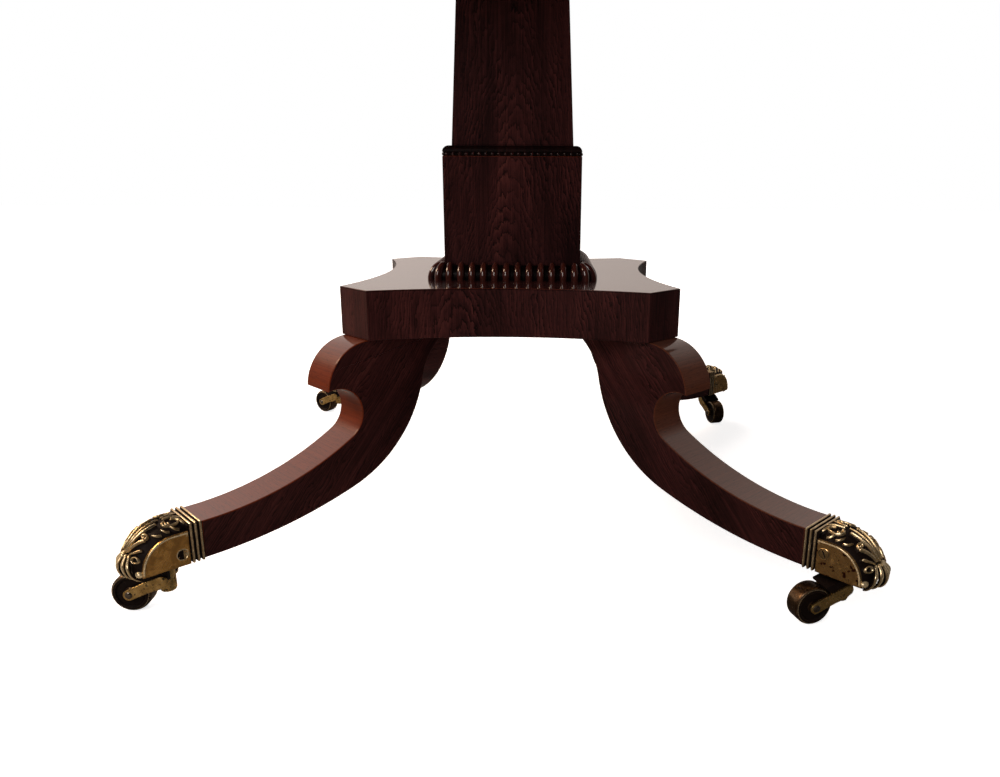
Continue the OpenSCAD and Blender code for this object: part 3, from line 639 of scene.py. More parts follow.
# Legs
# Sabre legs cut from the solid and veneered: a scrolled knee, a round notch, a long hollow sweep on top
# and a heel and cove below. The veneer runs across the upper edge and slants down the sides.
LEG_W = 42
LEG_REACH = 391
TOE_TOP = 81
TOE_BOTTOM = 46
KNEE_R = 47
KNEE_X = 0.547 * LEG_REACH
NOTCH_R = 27.5
NOTCH_X = 0.646 * LEG_REACH
SWEEP_R = 300
SOLE_R = 480
HEEL_R = 132
HEEL_X = 0.716 * LEG_REACH
COVE_R = 61
COVE_END = 75
CORNERS = {"front_left": 225, "front_right": 315, "back_right": 45, "back_left": 135}


def arc(centre, radius, start, end, steps):
    """Points on an arc about a centre, between two angles in degrees."""
    a = np.radians(np.linspace(start, end, steps + 1))
    return np.asarray(centre) + radius * np.stack([np.cos(a), np.sin(a)], -1)


def bearing(a, b):
    """Angle, in degrees, at which b is seen from a."""
    return math.degrees(math.atan2(b[1] - a[1], b[0] - a[0]))


def crossing(r, other_r, d):
    """Angle at a circle's centre between the line to another circle and the point where they cross."""
    return math.degrees(math.acos((r * r - other_r * other_r + d * d) / (2 * r * d)))


def below(centre, d, x):
    """The point at x that lies at distance d from a centre, under it."""
    return (x, centre[1] - math.sqrt(d * d - (centre[0] - x) ** 2))


def leg_outline():
    """Side of a leg as (distance from the column, height): a chain of tangent arcs, broken only by the
    sharp tip where the knee meets the notch. Also how many of its points lie on the upper edge."""
    knee = (KNEE_X, PLATFORM_UNDER - KNEE_R)
    sweep = (LEG_REACH, TOE_TOP + SWEEP_R)
    notch = below(sweep, SWEEP_R - NOTCH_R, NOTCH_X)
    sole = (LEG_REACH, TOE_BOTTOM + SOLE_R)
    heel = below(sole, SOLE_R - HEEL_R, HEEL_X)
    cove_h = PLATFORM_UNDER - COVE_R * math.sin(math.radians(COVE_END))
    cove = (heel[0] - math.sqrt((HEEL_R + COVE_R) ** 2 - (heel[1] - cove_h) ** 2), cove_h)
    span = math.dist(knee, notch)
    knee_turn = bearing(knee, notch) + crossing(KNEE_R, NOTCH_R, span)
    notch_start = bearing(notch, knee) - crossing(NOTCH_R, KNEE_R, span)
    notch_turn = bearing(sweep, notch) + 360
    sole_turn = bearing(sole, heel) + 360
    cove_start = bearing(cove, heel)
    upper = [arc(knee, KNEE_R, 90, knee_turn, 30),
             arc(notch, NOTCH_R, notch_start, notch_turn, 30)[1:],
             arc(sweep, SWEEP_R, notch_turn, 270, 30)[1:]]
    lower = [arc(sole, SOLE_R, 270, sole_turn, 24),
             arc(heel, HEEL_R, sole_turn, cove_start + 180, 20)[1:],
             arc(cove, COVE_R, cove_start, COVE_END, 20)[1:]]
    return np.concatenate(upper + lower), sum(len(part) for part in upper)


def on_edge(rings, side=1):
    """A slab's rings stood on edge, so that its thickness lies across the table's radius."""
    return rings[..., [0, 2, 1]] * [1, side, 1]


def leg():
    """The outline stood up as a slab. The sides' grain leans down the leg; the upper edge has paler veneer
    laid across it."""
    lean = 50
    across_board = 4
    outline, upper = leg_outline()
    rings, grain = slab(outline, -LEG_W / 2, LEG_W / 2, 1.0)
    x, y, z = np.moveaxis(rings[[0, -1]], -1, 0)
    grain[[0, -1]] = xyz(*swung(x, y, lean), z * across_board)
    pale = np.zeros(rings.shape[:2])
    pale[1:-1, :upper] = -1.0
    return skin(on_edge(rings, -1), grain, pale)


ROSEWOOD_LEG = rosewood("rosewood_leg")
ROSEWOOD_LEG_SHADED = rosewood("rosewood_leg_shaded", veneer=(0.095, 0.030, 0.016))
LEG_GRAIN_SHIFT = 3.0
leg_skin = leg()
for corner, degrees in CORNERS.items():
    piece = turned(leg_skin, degrees)
    piece["grain"] = piece["grain"] + [0, degrees * LEG_GRAIN_SHIFT, 0]
    # Painted shade: the front right leg's veneer is a darker, browner copy, for the side the warm lamp does
    # not reach.
    wood = ROSEWOOD_LEG_SHADED if corner == "front_right" else ROSEWOOD_LEG
    make("sabre_" + corner, piece, "base", wood, ["leg_" + corner])

# Brass caps
# Each toe wears a cast brass cap: a band of three ridges round the leg, two plain side plates with a
# raised rim that carries a painted highlight, a leaf casting bent over the top between them, and curled
# claws at the toe.
BAND_L = 12.5
CAP_PROUD = 1.5
CHEEK_R = 27.5
CROWN_H = 10.5
CAP_BASE_H = 45
CLAW_PITCH = 7.4
CLAW_STEP = 3
KNUCKLE_Y = 17
KNUCKLE_RADII = (4, 4.4, 3)
PLATE_SUNK = 0.72
STROKE_POINTS = 130
CHEEK_X = LEG_REACH + BAND_L + 12.5
CHEEK_Z = CAP_BASE_H + 3
CAP_HALF_W = LEG_W / 2 + CAP_PROUD


def brass_patina_and_light():
    """Old cast brass: browner metal in blotches, dark red stains by the share called Stains, and near-black
    in scattered pits. Hollow runs from -1 to 1: below 0 it lays on a painted highlight of pale, less metallic
    gold, and above 0 it turns the metal near-black and dull, as dirt in recesses and as painted shade."""
    group, given, put = new_group(
        "brass_patina_and_light",
        [("At", "Vector", (0, 0, 0)), ("Hollow", "Float", 0.0), ("Bright", "Color", (0.6, 0.4, 0.15, 1)),
         ("Brown", "Color", (0.3, 0.18, 0.06, 1)), ("Pitting", "Float", 0.5), ("Stains", "Float", 0.0)],
        [("Color", "Color"), ("Metal", "Float"), ("Roughness", "Float"), ("Height", "Float")])
    at = given["At"]
    fine = speckle(at, [900] * 3, 3.0, 0.6)
    browned = ranged(speckle(at, [150] * 3, 4.0, 0.6), 0.36, 0.62)
    # Painted highlight: where hollow is below 0, pale gold that is less metallic and smoother.
    painted_highlight = times(given["Hollow"], -1.0, clamp=True)
    toned = blend(browned, given["Bright"], given["Brown"])
    stain = ranged(speckle(at, [190] * 3, 2.5, 0.6), 0.59, 0.65)
    stained = blend(times(stain, given["Stains"]), toned, (0.09, 0.022, 0.010, 1))
    metal = blend(painted_highlight, stained, (0.95, 0.80, 0.50, 1))
    pits = times(ranged(speckle(at, [330] * 3, 1.5), 0.61, 0.67), given["Pitting"])
    # Dirt and painted shade: high hollow, with the pits, turns the metal near-black and dull.
    ragged = plus(given["Hollow"], times(less(fine, 0.5), 0.3))
    grime_and_shade = maths("MAXIMUM", ranged(ragged, 0.35, 0.68), pits, clamp=True)
    dulled = plus(times(grime_and_shade, 0.85), times(painted_highlight, 0.4))
    rough = plus(times(browned, 0.14), times(grime_and_shade, 0.3))
    hand_out(group, put, Color=blend(grime_and_shade, metal, (0.008, 0.004, 0.003, 1)),
             Metal=less(1.0, dulled, clamp=True),
             Roughness=plus(plus(rough, 0.22), times(painted_highlight, -0.07)),
             Height=less(times(fine, 0.35), pits))
    return group


PATINA_AND_LIGHT = brass_patina_and_light()


def brass(name, bright, brown, pitting=0.5, stains=0.0, bump=0.35):
    """Brass of two tones with the group's patina, painted highlights and painted shade over it."""
    material, tree = new_material(name)
    at = add(tree, "TexCoord").outputs["Object"]
    hollow = add(tree, "Attribute", attribute_name="hollow").outputs["Fac"]
    patina_and_light = add(tree, "Group", {
        "At": at, "Hollow": hollow, "Bright": (*bright, 1), "Brown": (*brown, 1), "Pitting": pitting,
        "Stains": stains}, node_tree=PATINA_AND_LIGHT).outputs
    end_material(tree, patina_and_light["Height"], bump, 0.0003, {
        "Base Color": patina_and_light["Color"], "Metallic": patina_and_light["Metal"], "Roughness": patina_and_light["Roughness"],
        "Specular IOR Level": 0.15})
    return material


def band():
    """Rounded-rectangle rings along the leg; they lift in three half-round ridges, with narrow grooves
    between them, painted dark as shade down the flanks, and a painted highlight on each crest."""
    ridges = 3
    sunk = 0.4
    round_r = 0.8
    x = np.linspace(0, BAND_L, 36 * ridges + 1)[:, None]
    t = np.clip(((x / BAND_L * ridges) % 1 - 0.06) / 0.68, 0, 1)
    rise = np.sqrt(np.clip(1 - (2 * t - 1) ** 2, 0, 1))
    lift = (CAP_PROUD + sunk) * rise - sunk
    top, base = TOE_TOP + lift, CAP_BASE_H + 1.5 * (1 - rise)
    sides = []
    for k, (sy, sz, z) in enumerate([(1, 1, top), (-1, 1, top), (-1, -1, base), (1, -1, base)]):
        a = np.radians(np.linspace(0, 90, 4)) + k * math.pi / 2
        y = sy * (LEG_W / 2 + lift - round_r) + round_r * np.cos(a)
        sides.append(xyz(LEG_REACH + x, y, z - sz * round_r + round_r * np.sin(a)))
    # Painted shade down the flanks into the grooves, and a painted highlight along each crest.
    return skin(np.concatenate(sides, 1), hollow=(1 - rise) ** 0.42 - 0.6 * rise ** 10)


def cheek_outline():
    """Side plate as (distance, height): level foot, quarter-round front, upright back."""
    back, top = LEG_REACH + BAND_L, CHEEK_Z + CHEEK_R
    front = arc((CHEEK_X, CHEEK_Z), CHEEK_R, 0, 90, 36)
    return np.concatenate([[(back, CAP_BASE_H), (CHEEK_X + CHEEK_R, CAP_BASE_H)], front,
                           [(back, top), (back, top - 5)]])


def cheek(side):
    """One side plate. Round its curved edge runs a raised rim, with a painted highlight on its top and
    painted shade on its outer fall and in the groove inside it: (depth in from the edge, height off the
    plate's widest line and hollow on the rim, then both on the plain edges)."""
    outline = cheek_outline()
    flat = -PLATE_SUNK
    profile = [(0.0, -2.4, 0.6, -2.4, 0.6), (0.0, -0.9, 0.0, -1.2, 0.3), (0.25, -0.35, -0.5, -0.85, 0.1),
               (0.8, 0.0, -1.0, flat, 0.0), (1.5, -0.05, -1.0, flat, 0.0), (2.0, -0.45, -0.2, flat, 0.0),
               (2.4, -0.7, 0.3, flat, 0.0), (3.2, flat, 0.0, flat, 0.0)]
    rim = np.ones(len(outline))
    rim[[0, 1, -1]] = 0.0
    rings = [xyz(*outline.T, LEG_W / 2 - 3)]
    hollow = [0.8 + 0 * rim]
    for depth, high, bright, plain_high, plain in profile:
        out = CAP_HALF_W + rim * high + (1 - rim) * plain_high
        rings.append(xyz(*inset(outline, depth).T, out))
        hollow.append(rim * bright + (1 - rim) * plain)
    return skin(on_edge(np.stack(rings), side), hollow=np.stack(hollow))


def cap_body():
    """The cast body between the plates, painted dark as shade where it shows."""
    outline = inset(cheek_outline(), 1.2)
    rings = np.stack([xyz(*outline.T, out) for out in (-LEG_W / 2, LEG_W / 2)])
    return skin(on_edge(rings), hollow=0.9)


def rib(start, end, bow=0.0):
    """A line from start to end, as (distance round the toe, distance across), bowed sideways midway."""
    t = np.linspace(0, 1, STROKE_POINTS)[:, None]
    return (1 - t) * np.array(start) + t * np.array(end) + np.sin(math.pi * t) * [0.0, bow]


def curl(centre, r0, r1, a0, a1, stretch=1.0):
    """A spiral from radius r0 to r1, between two angles in degrees, stretched round the toe."""
    t = np.linspace(0, 1, STROKE_POINTS)
    a = np.radians(a0 + (a1 - a0) * t)
    r = r0 + (r1 - r0) * t
    return np.stack([centre[0] + stretch * r * np.cos(a), centre[1] + r * np.sin(a)], -1)


def strokes():
    """The leaf's ribs and scrolls on one half of the casting, as (line, half width, height) in mm: a middle
    rib, a broad one beside it, one that ends in a curl, a short one, a ring and two leaves beside the
    claws, a scroll near the band and three leaf tips along the plate's edge."""
    t = np.linspace(0, 1, STROKE_POINTS)
    swell = np.sin(math.pi * t ** 0.7)
    root = 0.4 + 0.6 * np.clip(t / 0.35, 0, 1)
    cut = [
        (rib((22, 0.0), (60, 0.0)), (0.8 + 0.3 * swell) * root, 2.9),
        (rib((24, 2.8), (56, 6.2), 0.3), (1.1 + 0.5 * swell) * root, 3.4),
        (rib((24, 5.4), (40, 13.2), -0.8), (1.1 + 0.7 * t) * root, 3.3),
        (curl((42.6, 10.8), 3.0, 0.9, 100, -260), 1.1 + 0 * t, 3.2),
        (rib((23, 8.0), (31, 16.0), 0.6), (1.0 + 0.5 * t) * root, 2.9),
        (curl((67.5, 10.2), 3.8, 3.8, -70, 235, 1.9), 1.05 + 0 * t, 3.2),
        (curl((65, 10.6), 1.8, 0.6, 235, -60, 1.3), 0.9 + 0 * t, 2.8),
        (rib((64, 2.2), (78, 5.4), -1.0), 0.9 + 0.5 * swell, 3.0),
        (rib((75, 8.5), (82, 15), 1.0), 1.0 + 0.4 * swell, 2.8),
        (curl((20.5, 15.2), 2.9, 2.9, 0, 360), 0.9 + 0 * t, 2.9),
    ]
    for start, length in ((48, 6.5), (57, 6), (66, 7)):
        cut.append((rib((start, 14.6), (start + length, 18.2), 1.0), 0.8 + 0.5 * swell, 2.7))
    return cut


def leaf_casting():
    """A leaf bent over the cap. With s measured round the toe and y across, the surface stands off a circle
    by a crown that falls to the plates and dips under the claws, plus the highest of the ribs' rounded
    sections at that point."""
    start, end = -8, 117
    rows, columns = 230, 121
    outer_r = CHEEK_R + CROWN_H
    inner_r = CHEEK_R - 7
    half = LEG_W / 2 - 0.6
    a = np.radians(np.linspace(start, end, rows))[:, None]
    s = (a - a[0]) * outer_r
    y = np.linspace(-half, half, columns)[None, :]
    off = np.abs(y)
    rise = np.zeros((rows, columns))
    for line, width, height in strokes():
        gap = (s[..., None] - line[:, 0]) ** 2 + (off[..., None] - line[:, 1]) ** 2
        share = np.sqrt(gap.min(-1)) / width[gap.argmin(-1)]
        rise = np.maximum(rise, height * np.sqrt(np.clip(1 - share ** 2, 0, 1)))
    middle_r = outer_r - 3.4 + 1.8 * np.clip((s - 66) / 12, 0, 1)
    dip = 4.5 * np.clip((23 - s) / 5, 0, 1) * np.clip((12 - off) / 3, 0, 1)
    base = middle_r - dip - (middle_r - CHEEK_R + 0.6) * (off / half) ** 2.6
    edge = np.clip((half - off) / 1.0, 0, 1)
    r = np.minimum(base + rise * edge - (1 - edge) * 1.5, outer_r + 0.3 - 6.0 * (off / half) ** 3)
    # Near-black off the ribs, as dirt in the casting's recesses and as painted shade, with a painted
    # highlight on the ribs' tops.
    hollow = 1.0 - 1.5 * np.clip(rise / 3.0, 0, 1) ** 2.6
    outside = xyz(CHEEK_X + r * np.cos(a), y, CHEEK_Z + r * np.sin(a))
    inside = xyz(CHEEK_X + inner_r * np.cos(a), y[:, [-1, 0]], CHEEK_Z + inner_r * np.sin(a))
    marks = np.concatenate([hollow, np.ones((rows, 2))], 1)
    return skin(np.concatenate([outside, inside], 1), hollow=marks)


def tube(spine, radius, columns=14):
    """A round section carried along a line (n, 3) in the plane of the leg, with its own radius at each
    point."""
    ahead = np.gradient(spine, axis=0)
    ahead /= np.linalg.norm(ahead, axis=1, keepdims=True)
    side = np.array([0.0, 1.0, 0.0])
    up = np.cross(ahead, side)[:, None]
    b = circle(columns)[:, None]
    return spine[:, None] + radius[:, None, None] * (np.cos(b) * up + np.sin(b) * side)


def claws():
    """Five fingers that part from a knot of knuckles and curl under the toe, each thick at its joints and
    thin at the tip. The outer ones stand back, and a knuckle lies over the edge of each plate."""
    parts = []
    bend_r = 12
    columns = 14
    t = np.linspace(0, 1, 44)
    a = np.radians(64 - 128 * t)
    b = circle(columns)
    # A painted highlight along each finger's outer face and painted shade on its inner face.
    hollow = np.clip(0.95 - 1.9 * np.cos(b), -0.8, 1)
    joint = np.exp(-((t - 0.07) / 0.06) ** 2) + 0.8 * np.exp(-((t - 0.38) / 0.13) ** 2)
    end = np.sqrt(np.clip(1 - ((t - 0.5) / 0.5) ** 8, 0.003, 1))
    radius = (1.7 + 0.9 * joint) * (1 - 0.2 * t) * end
    for k in range(-2, 3):
        spread = k * CLAW_PITCH * (0.36 + 0.64 * np.sin(math.pi / 2 * np.clip(t / 0.7, 0, 1)))
        x = CHEEK_X + CHEEK_R - abs(k) * CLAW_STEP * (0.4 + 0.6 * t) + bend_r * np.cos(a)
        spine = xyz(x, spread, CHEEK_Z + 3.5 + bend_r * np.sin(a))
        parts.append(skin(tube(spine, radius, columns), hollow=hollow))
    for s in (-1, 1):
        at = (CHEEK_X + CHEEK_R + 0.5, s * KNUCKLE_Y, CAP_BASE_H + 3)
        # The knuckles carry a painted highlight.
        parts.append(ball(at, KNUCKLE_RADII, hollow=-0.8))
    return joined(parts)


BRASS_PLATE = brass("brass_plate", (0.88, 0.52, 0.16), (0.57, 0.315, 0.095), pitting=0.12)
BRASS_PLATE_STAINED = brass("brass_plate_stained", (0.80, 0.50, 0.19), (0.52, 0.31, 0.12), pitting=0.2,
                            stains=1.0)
BRASS_CAST = brass("brass_cast", (0.88, 0.72, 0.44), (0.50, 0.34, 0.15), pitting=0.15, bump=0.0)
BRASS_BAND = brass("brass_band", (0.78, 0.63, 0.40), (0.40, 0.29, 0.16), pitting=0.2, bump=0.12)
cap_parts = {
    "band": (band(), BRASS_BAND),
    "plates": (joined([cap_body(), cheek(-1), cheek(1)]), BRASS_PLATE),
    "leaf": (leaf_casting(), BRASS_CAST),
    "claws": (claws(), BRASS_CAST),
}
for corner, degrees in CORNERS.items():
    for part, (shape, finish) in cap_parts.items():
        if part == "plates" and corner.endswith("right"):
            finish = BRASS_PLATE_STAINED
        made = make("cap_%s_%s" % (part, corner), turned(shape, degrees), "base", finish,
                    flats=part == "plates", sharp=85 if part == "leaf" else 40)
        if part == "plates":
            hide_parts("cap_" + corner)

# Cap screws
# A slotted screw, sunk a little in a turned ring, holds each side plate to the leg's tongue.
SCREW_X = LEG_REACH + 19
SCREW_RISE = {"front_left": 11, "front_right": 19, "back_right": 15, "back_left": 15}
AXIS_R = 0.02
SLOT_TURN = {"front_left": 60, "front_right": 27, "back_right": 75, "back_left": 120}


def lathe(profile, columns=40):
    """A profile of (radius, height) turned about the upright axis. Solids start and end at AXIS_R."""
    r, z = np.asarray(profile, float).T[..., None]
    b = circle(columns)
    return xyz(r * np.cos(b), r * np.sin(b), z)


def screw(slot_degrees, sunk):
    """A ring round a domed head. Points near the slot's line drop. The ring carries a painted highlight and
    the gap inside it painted shade; a plain head has painted shade in its slot, and a sunk head painted
    shade on one side and a painted highlight on the other.
    """
    head_r, foot = 4.3, 0.12
    slot_half_w, slot_depth = 0.75, 0.38
    ring = [(5.3, -0.4), (5.3, 0.35), (4.95, 0.6), (4.6, 0.5), (4.35, foot)]
    head = [(r, foot + 0.4 * math.sqrt(1 - (r / head_r) ** 2)) for r in np.linspace(4.2, AXIS_R, 18)]
    points = lathe(ring + head, 72)
    x, y = points[..., 0], points[..., 1]
    off, _ = swung(x, y, -slot_degrees)
    cut = np.clip((slot_half_w - np.abs(off)) / 0.2, 0, 1) * (np.hypot(x, y) < 4.1)
    points[..., 2] -= slot_depth * cut
    hollow = np.zeros(points.shape[:2])
    hollow[1:4] = -0.7
    hollow[4:6] = 1.0
    shade = np.clip(0.9 + x / 2.2, -0.5, 1) * (np.hypot(x, y) < head_r)
    return skin(points, hollow=np.where(sunk, np.where(shade != 0, shade, hollow), np.maximum(hollow, cut)))


def screw_sides(corner):
    """The corner's two screws, stood out of the sides of its cap."""
    shape = screw(SLOT_TURN[corner], corner == "front_left")
    x, y, z = shape["points"].T
    sides = []
    for s in (-1, 1):
        points = xyz(SCREW_X + x, s * (CAP_HALF_W - PLATE_SUNK + z), CAP_BASE_H + SCREW_RISE[corner] + y)
        sides.append(turned({**shape, "points": points}, CORNERS[corner]))
    return joined(sides)


BRASS_SCREW = brass("brass_screw", (0.72, 0.52, 0.26), (0.45, 0.30, 0.13), pitting=0.2)
make("cap_side_screws", joined([screw_sides(corner) for corner in CORNERS]), "base", BRASS_SCREW,
     ["cap_screws"], flats=False)

# Castors
# Each cap holds the pin of a brass fork that swivels under it; the fork's two arms carry a steel axle and
# a brass wheel turned with round shoulders and hollowed sides.
WHEEL_D = 35
WHEEL_W = 17
TRAIL = 30
SWIVEL_REACH = LEG_REACH + 27
BOSS_D = 14
ARM_T = 3
AXLE_D = 5
SWIVEL_D = 7
SWIVEL_L = 10
AXLE_H = WHEEL_D / 2
SIDE_GAP = 0.5
FORK_TOP = CAP_BASE_H - 0.3
FLANGE_T = 5
ARM_H = 10
EYE_R = 5.2
ROOT_Z = FORK_TOP - FLANGE_T - ARM_H / 2 - 4
BOSS_BASE = ROOT_Z - 13.5
FORK_HALF_W = WHEEL_W / 2 + SIDE_GAP + ARM_T
GUARD_GAP = 0.9
GUARD_DROP = 6.5
GUARD_END = 119
HEADINGS = {"front_left": 182, "front_right": 196, "back_right": 285, "back_left": 150}


def at_castor(part, corner):
    """Carries a castor's part from the origin to its corner, turned the way the castor trails."""
    part = turned(part, HEADINGS[corner])
    a = math.radians(CORNERS[corner])
    return {**part, "points": part["points"] + SWIVEL_REACH * np.array([math.cos(a), math.sin(a), 0])}


def sideways(points):
    """Turns a lathe's upright axis to lie across the castor, at the axle."""
    return points[..., [0, 2, 1]] + [TRAIL, 0, AXLE_H]


def rod(radius, low, high, arris):
    """An upright turned rod with rounded ends."""
    wall = [(radius - aside, z) for aside, z in arrises(low, high, arris, steps=3)]
    return skin(lathe([(AXIS_R, low)] + wall + [(AXIS_R, high)]))


def fork_arm(side):
    """One arm: a straight bar from the cross head down to the axle's eye, deeper below at the head."""
    root_drop = 1.6
    t = np.linspace(0, 1, 25)
    middle = np.stack([TRAIL * t, ROOT_Z + (AXLE_H - ROOT_Z) * t], -1)
    half = ARM_H / 2 + 0.4 + (EYE_R - ARM_H / 2) * t
    upper = middle + np.stack([0 * t, half], -1)
    lower = middle - np.stack([0 * t, half + root_drop * np.exp(-(t / 0.28) ** 2)], -1)
    slope = bearing(middle[-2], middle[-1])
    eye = arc(middle[-1], EYE_R, slope - 62, slope + 62, 12)
    root = arc(middle[0], ARM_H / 2, 95, 250, 12)
    outline = np.concatenate([lower[1:-1], eye, upper[1:-1][::-1], root])
    rings, _ = slab(outline, -ARM_T / 2, ARM_T / 2, 0.8)
    return skin(on_edge(rings) + [0, side * (FORK_HALF_W - ARM_T / 2), 0])


def fork():
    """Flange, boss, cross head, pin, two arms, and the web between them, hollowed to clear the wheel."""
    flange_r = BOSS_D / 2 + 3
    under = FORK_TOP - FLANGE_T
    profile = [(AXIS_R, BOSS_BASE), (BOSS_D / 2 - 2, BOSS_BASE), (BOSS_D / 2 - 0.6, BOSS_BASE + 0.6),
               (BOSS_D / 2, BOSS_BASE + 2), (BOSS_D / 2, under - 1.2), (BOSS_D / 2 + 0.8, under - 0.3),
               (flange_r - 0.8, under), (flange_r, under + 0.8), (flange_r, FORK_TOP - 0.8),
               (flange_r - 0.8, FORK_TOP), (SWIVEL_D / 2, FORK_TOP), (SWIVEL_D / 2, FORK_TOP + SWIVEL_L - 1),
               (SWIVEL_D / 2 - 1, FORK_TOP + SWIVEL_L), (AXIS_R, FORK_TOP + SWIVEL_L)]
    turned_part = lathe(profile)
    # Painted shade: the turned part goes dark towards its top, under the cap.
    dark = np.clip((turned_part[..., 2] - (under - 3)) / 3, 0, 1)
    head = rod(ARM_H / 2, -FORK_HALF_W + 0.2, FORK_HALF_W - 0.2, 0.8)
    x, y, z = head["points"].T
    head = {**head, "points": xyz(x, z, ROOT_Z + y)}
    back = -ARM_H / 2
    clear = AXLE_H + GUARD_GAP
    foot = ROOT_Z - GUARD_DROP
    low = (TRAIL - math.sqrt(clear ** 2 - (foot - AXLE_H) ** 2), foot)
    guard = arc((TRAIL, AXLE_H), clear, bearing((TRAIL, AXLE_H), low), GUARD_END, 12)
    rest = [guard[-1] + [0, 1.6], (low[0] - 3, under), (back, under), (back, ROOT_Z)]
    outline = np.roll(np.concatenate([guard, rest]), 1, 0)
    rings, _ = slab(outline, -FORK_HALF_W + ARM_T / 2, FORK_HALF_W - ARM_T / 2, 0.4)
    # Painted shade on the web between the arms.
    web = skin(on_edge(rings), hollow=0.9)
    return joined([skin(turned_part, hollow=dark * 0.9), head, web, fork_arm(-1), fork_arm(1)])


def axle():
    """The axle and its two riveted ends."""
    half = FORK_HALF_W
    end = [(AXIS_R, half + 1), (AXLE_D * 0.35, half + 1), (AXLE_D * 0.6, half + 0.5), (AXLE_D * 0.66, half),
           (AXLE_D / 2, half)]
    return skin(sideways(lathe([(r, -z) for r, z in end] + end[::-1])))


def wheel():
    """A wheel's section turned about its axle: bore, hub, hollowed side, thin rim, round shoulder, tread."""
    half = WHEEL_W / 2
    r = WHEEL_D / 2
    shoulder = 3.0
    bore = AXLE_D / 2 + 0.08
    hub = AXLE_D / 2 + 3
    rim = r - 4.2
    a = np.radians(np.linspace(0, 90, 13))
    # Hollow round the section: painted shade on the hollowed sides, a painted highlight in a thin line round
    # each shoulder, and a patchy darkening over the tread.
    sheen_and_shade = [0.7, 0.75, 0.75, -0.45, -0.45, 0.6, 0.5, 0.4, 0.35, 0.3, 0.3, 0.35, 0.35]
    side = [(bore, half - 0.4, 0.2), (bore + 0.4, half, 0.0), (hub - 0.5, half, 0.0), (hub, half - 0.4, 0.3),
            (hub + 0.2, half - 1.6, 0.9), (rim - 0.8, half - 1.6, 0.9), (rim - 0.2, half - 0.9, 0.8),
            (rim, half - 0.25, 0.8), (rim + 0.3, half, 0.6), (rim + 0.7, half - 0.05, 0.7)]
    side += [(r - shoulder + shoulder * math.sin(b), half - shoulder + shoulder * math.cos(b), h)
             for b, h in zip(a, sheen_and_shade)]
    both = side + [(x, -z, h) for x, z, h in side[::-1]]
    section = np.array([(x, z) for x, z, _ in both])
    hollow = np.array([h for _, _, h in both])
    return skin(sideways(lathe(section, 72)), hollow=hollow[:, None], caps=False, wrap_rows=True)


BRASS_FORK = brass("brass_fork", (0.86, 0.60, 0.23), (0.52, 0.34, 0.12), pitting=0.9)
BRASS_WHEEL = brass("brass_wheel", (0.17, 0.105, 0.055), (0.06, 0.034, 0.020), pitting=1.0, bump=0.6)
BRASS_AXLE = brass("axle_steel", (0.22, 0.19, 0.15), (0.10, 0.08, 0.06), pitting=0.6)
castor_parts = [("fork", fork(), "castor_", "castor_brass", BRASS_FORK),
                ("axle", axle(), "castor_", "steel", BRASS_AXLE),
                ("wheel", wheel(), "wheel_", "wheel_brass", BRASS_WHEEL)]
for corner in CORNERS:
    for part, shape, body, slot, metal in castor_parts:
        make("castor_%s_%s" % (part, corner), at_castor(shape, corner), body + corner, metal,
             ["%s_%s" % (part, corner)], flats=part != "wheel")

# Plain timber
# The pivot block, the bearers, the wedges and the dowels are of plain oak and beech, which nobody sees
# when the top is down. They stay as the CAD has them.


def plain_timber(name, along):
    """Oiled plain timber: pale lines and short pores along one axis, given as a turn in degrees."""
    material, tree = new_material(name)
    grain = grain_along(tree, along)
    lines = speckle(grain, (4, 160, 160), 3.0, 0.6)
    fine = speckle(grain, (30, 1400, 1400), 2.0)
    mixed = plus(times(lines, 0.65), times(fine, 0.35))
    colour = colour_ramp(mixed, [(0.32, (0.055, 0.026, 0.012)), (0.68, (0.20, 0.105, 0.045))])
    end_material(tree, fine, 0.4, 0.0003, {
        "Base Color": colour, "Roughness": plus(times(fine, 0.2), 0.45), "Specular IOR Level": 0.4})
    return material


def finish_nodes(material, *nodes):
    """Gives CAD nodes that stay their material."""
    for node in nodes:
        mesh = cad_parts[node].data
        mesh.materials.clear()
        mesh.materials.append(material)


TIMBER_X = plain_timber("timber_side_to_side", (0, 0, 0))
TIMBER_Y = plain_timber("timber_front_to_back", (0, 0, -90))
TIMBER_Z = plain_timber("timber_upright", (0, 90, 0))
finish_nodes(TIMBER_X, "pivot_block")
finish_nodes(TIMBER_Y, "bearer_left", "bearer_right")
finish_nodes(TIMBER_Z, "column_wedges", "leg_dowels")

# Top
# A broad rosewood board with a half-round moulded edge let on round it, and a shallow frieze of four rails
# and four bent corners below. Its figure runs from side to side.
TABLE_H = 730
TOP_L = 1140
TOP_D = 860
TOP_T = 24
TOP_CORNER_R = 60
EDGE_W = 16
FRIEZE_H = 38
FRIEZE_T = 18
FRIEZE_INSET = 50
FRIEZE_CORNER_R = 40
BOARD_UNDER = TABLE_H - TOP_T
QUARTERS = [(1, 1), (-1, 1), (-1, -1), (1, -1)]


def corner_path(length, depth, radius, out):
    """A rounded rectangle of that radius, drawn out by a distance: points (n, 2), anticlockwise from the
    right side's back corner."""
    a = np.radians(np.linspace(0, 90, 15))
    parts = []
    for k, (sx, sy) in enumerate(QUARTERS):
        b = a + k * math.pi / 2
        centre = np.array([sx * (length / 2 - radius), sy * (depth / 2 - radius)])
        parts.append(centre + (radius + out) * np.stack([np.cos(b), np.sin(b)], -1))
    return np.concatenate(parts)


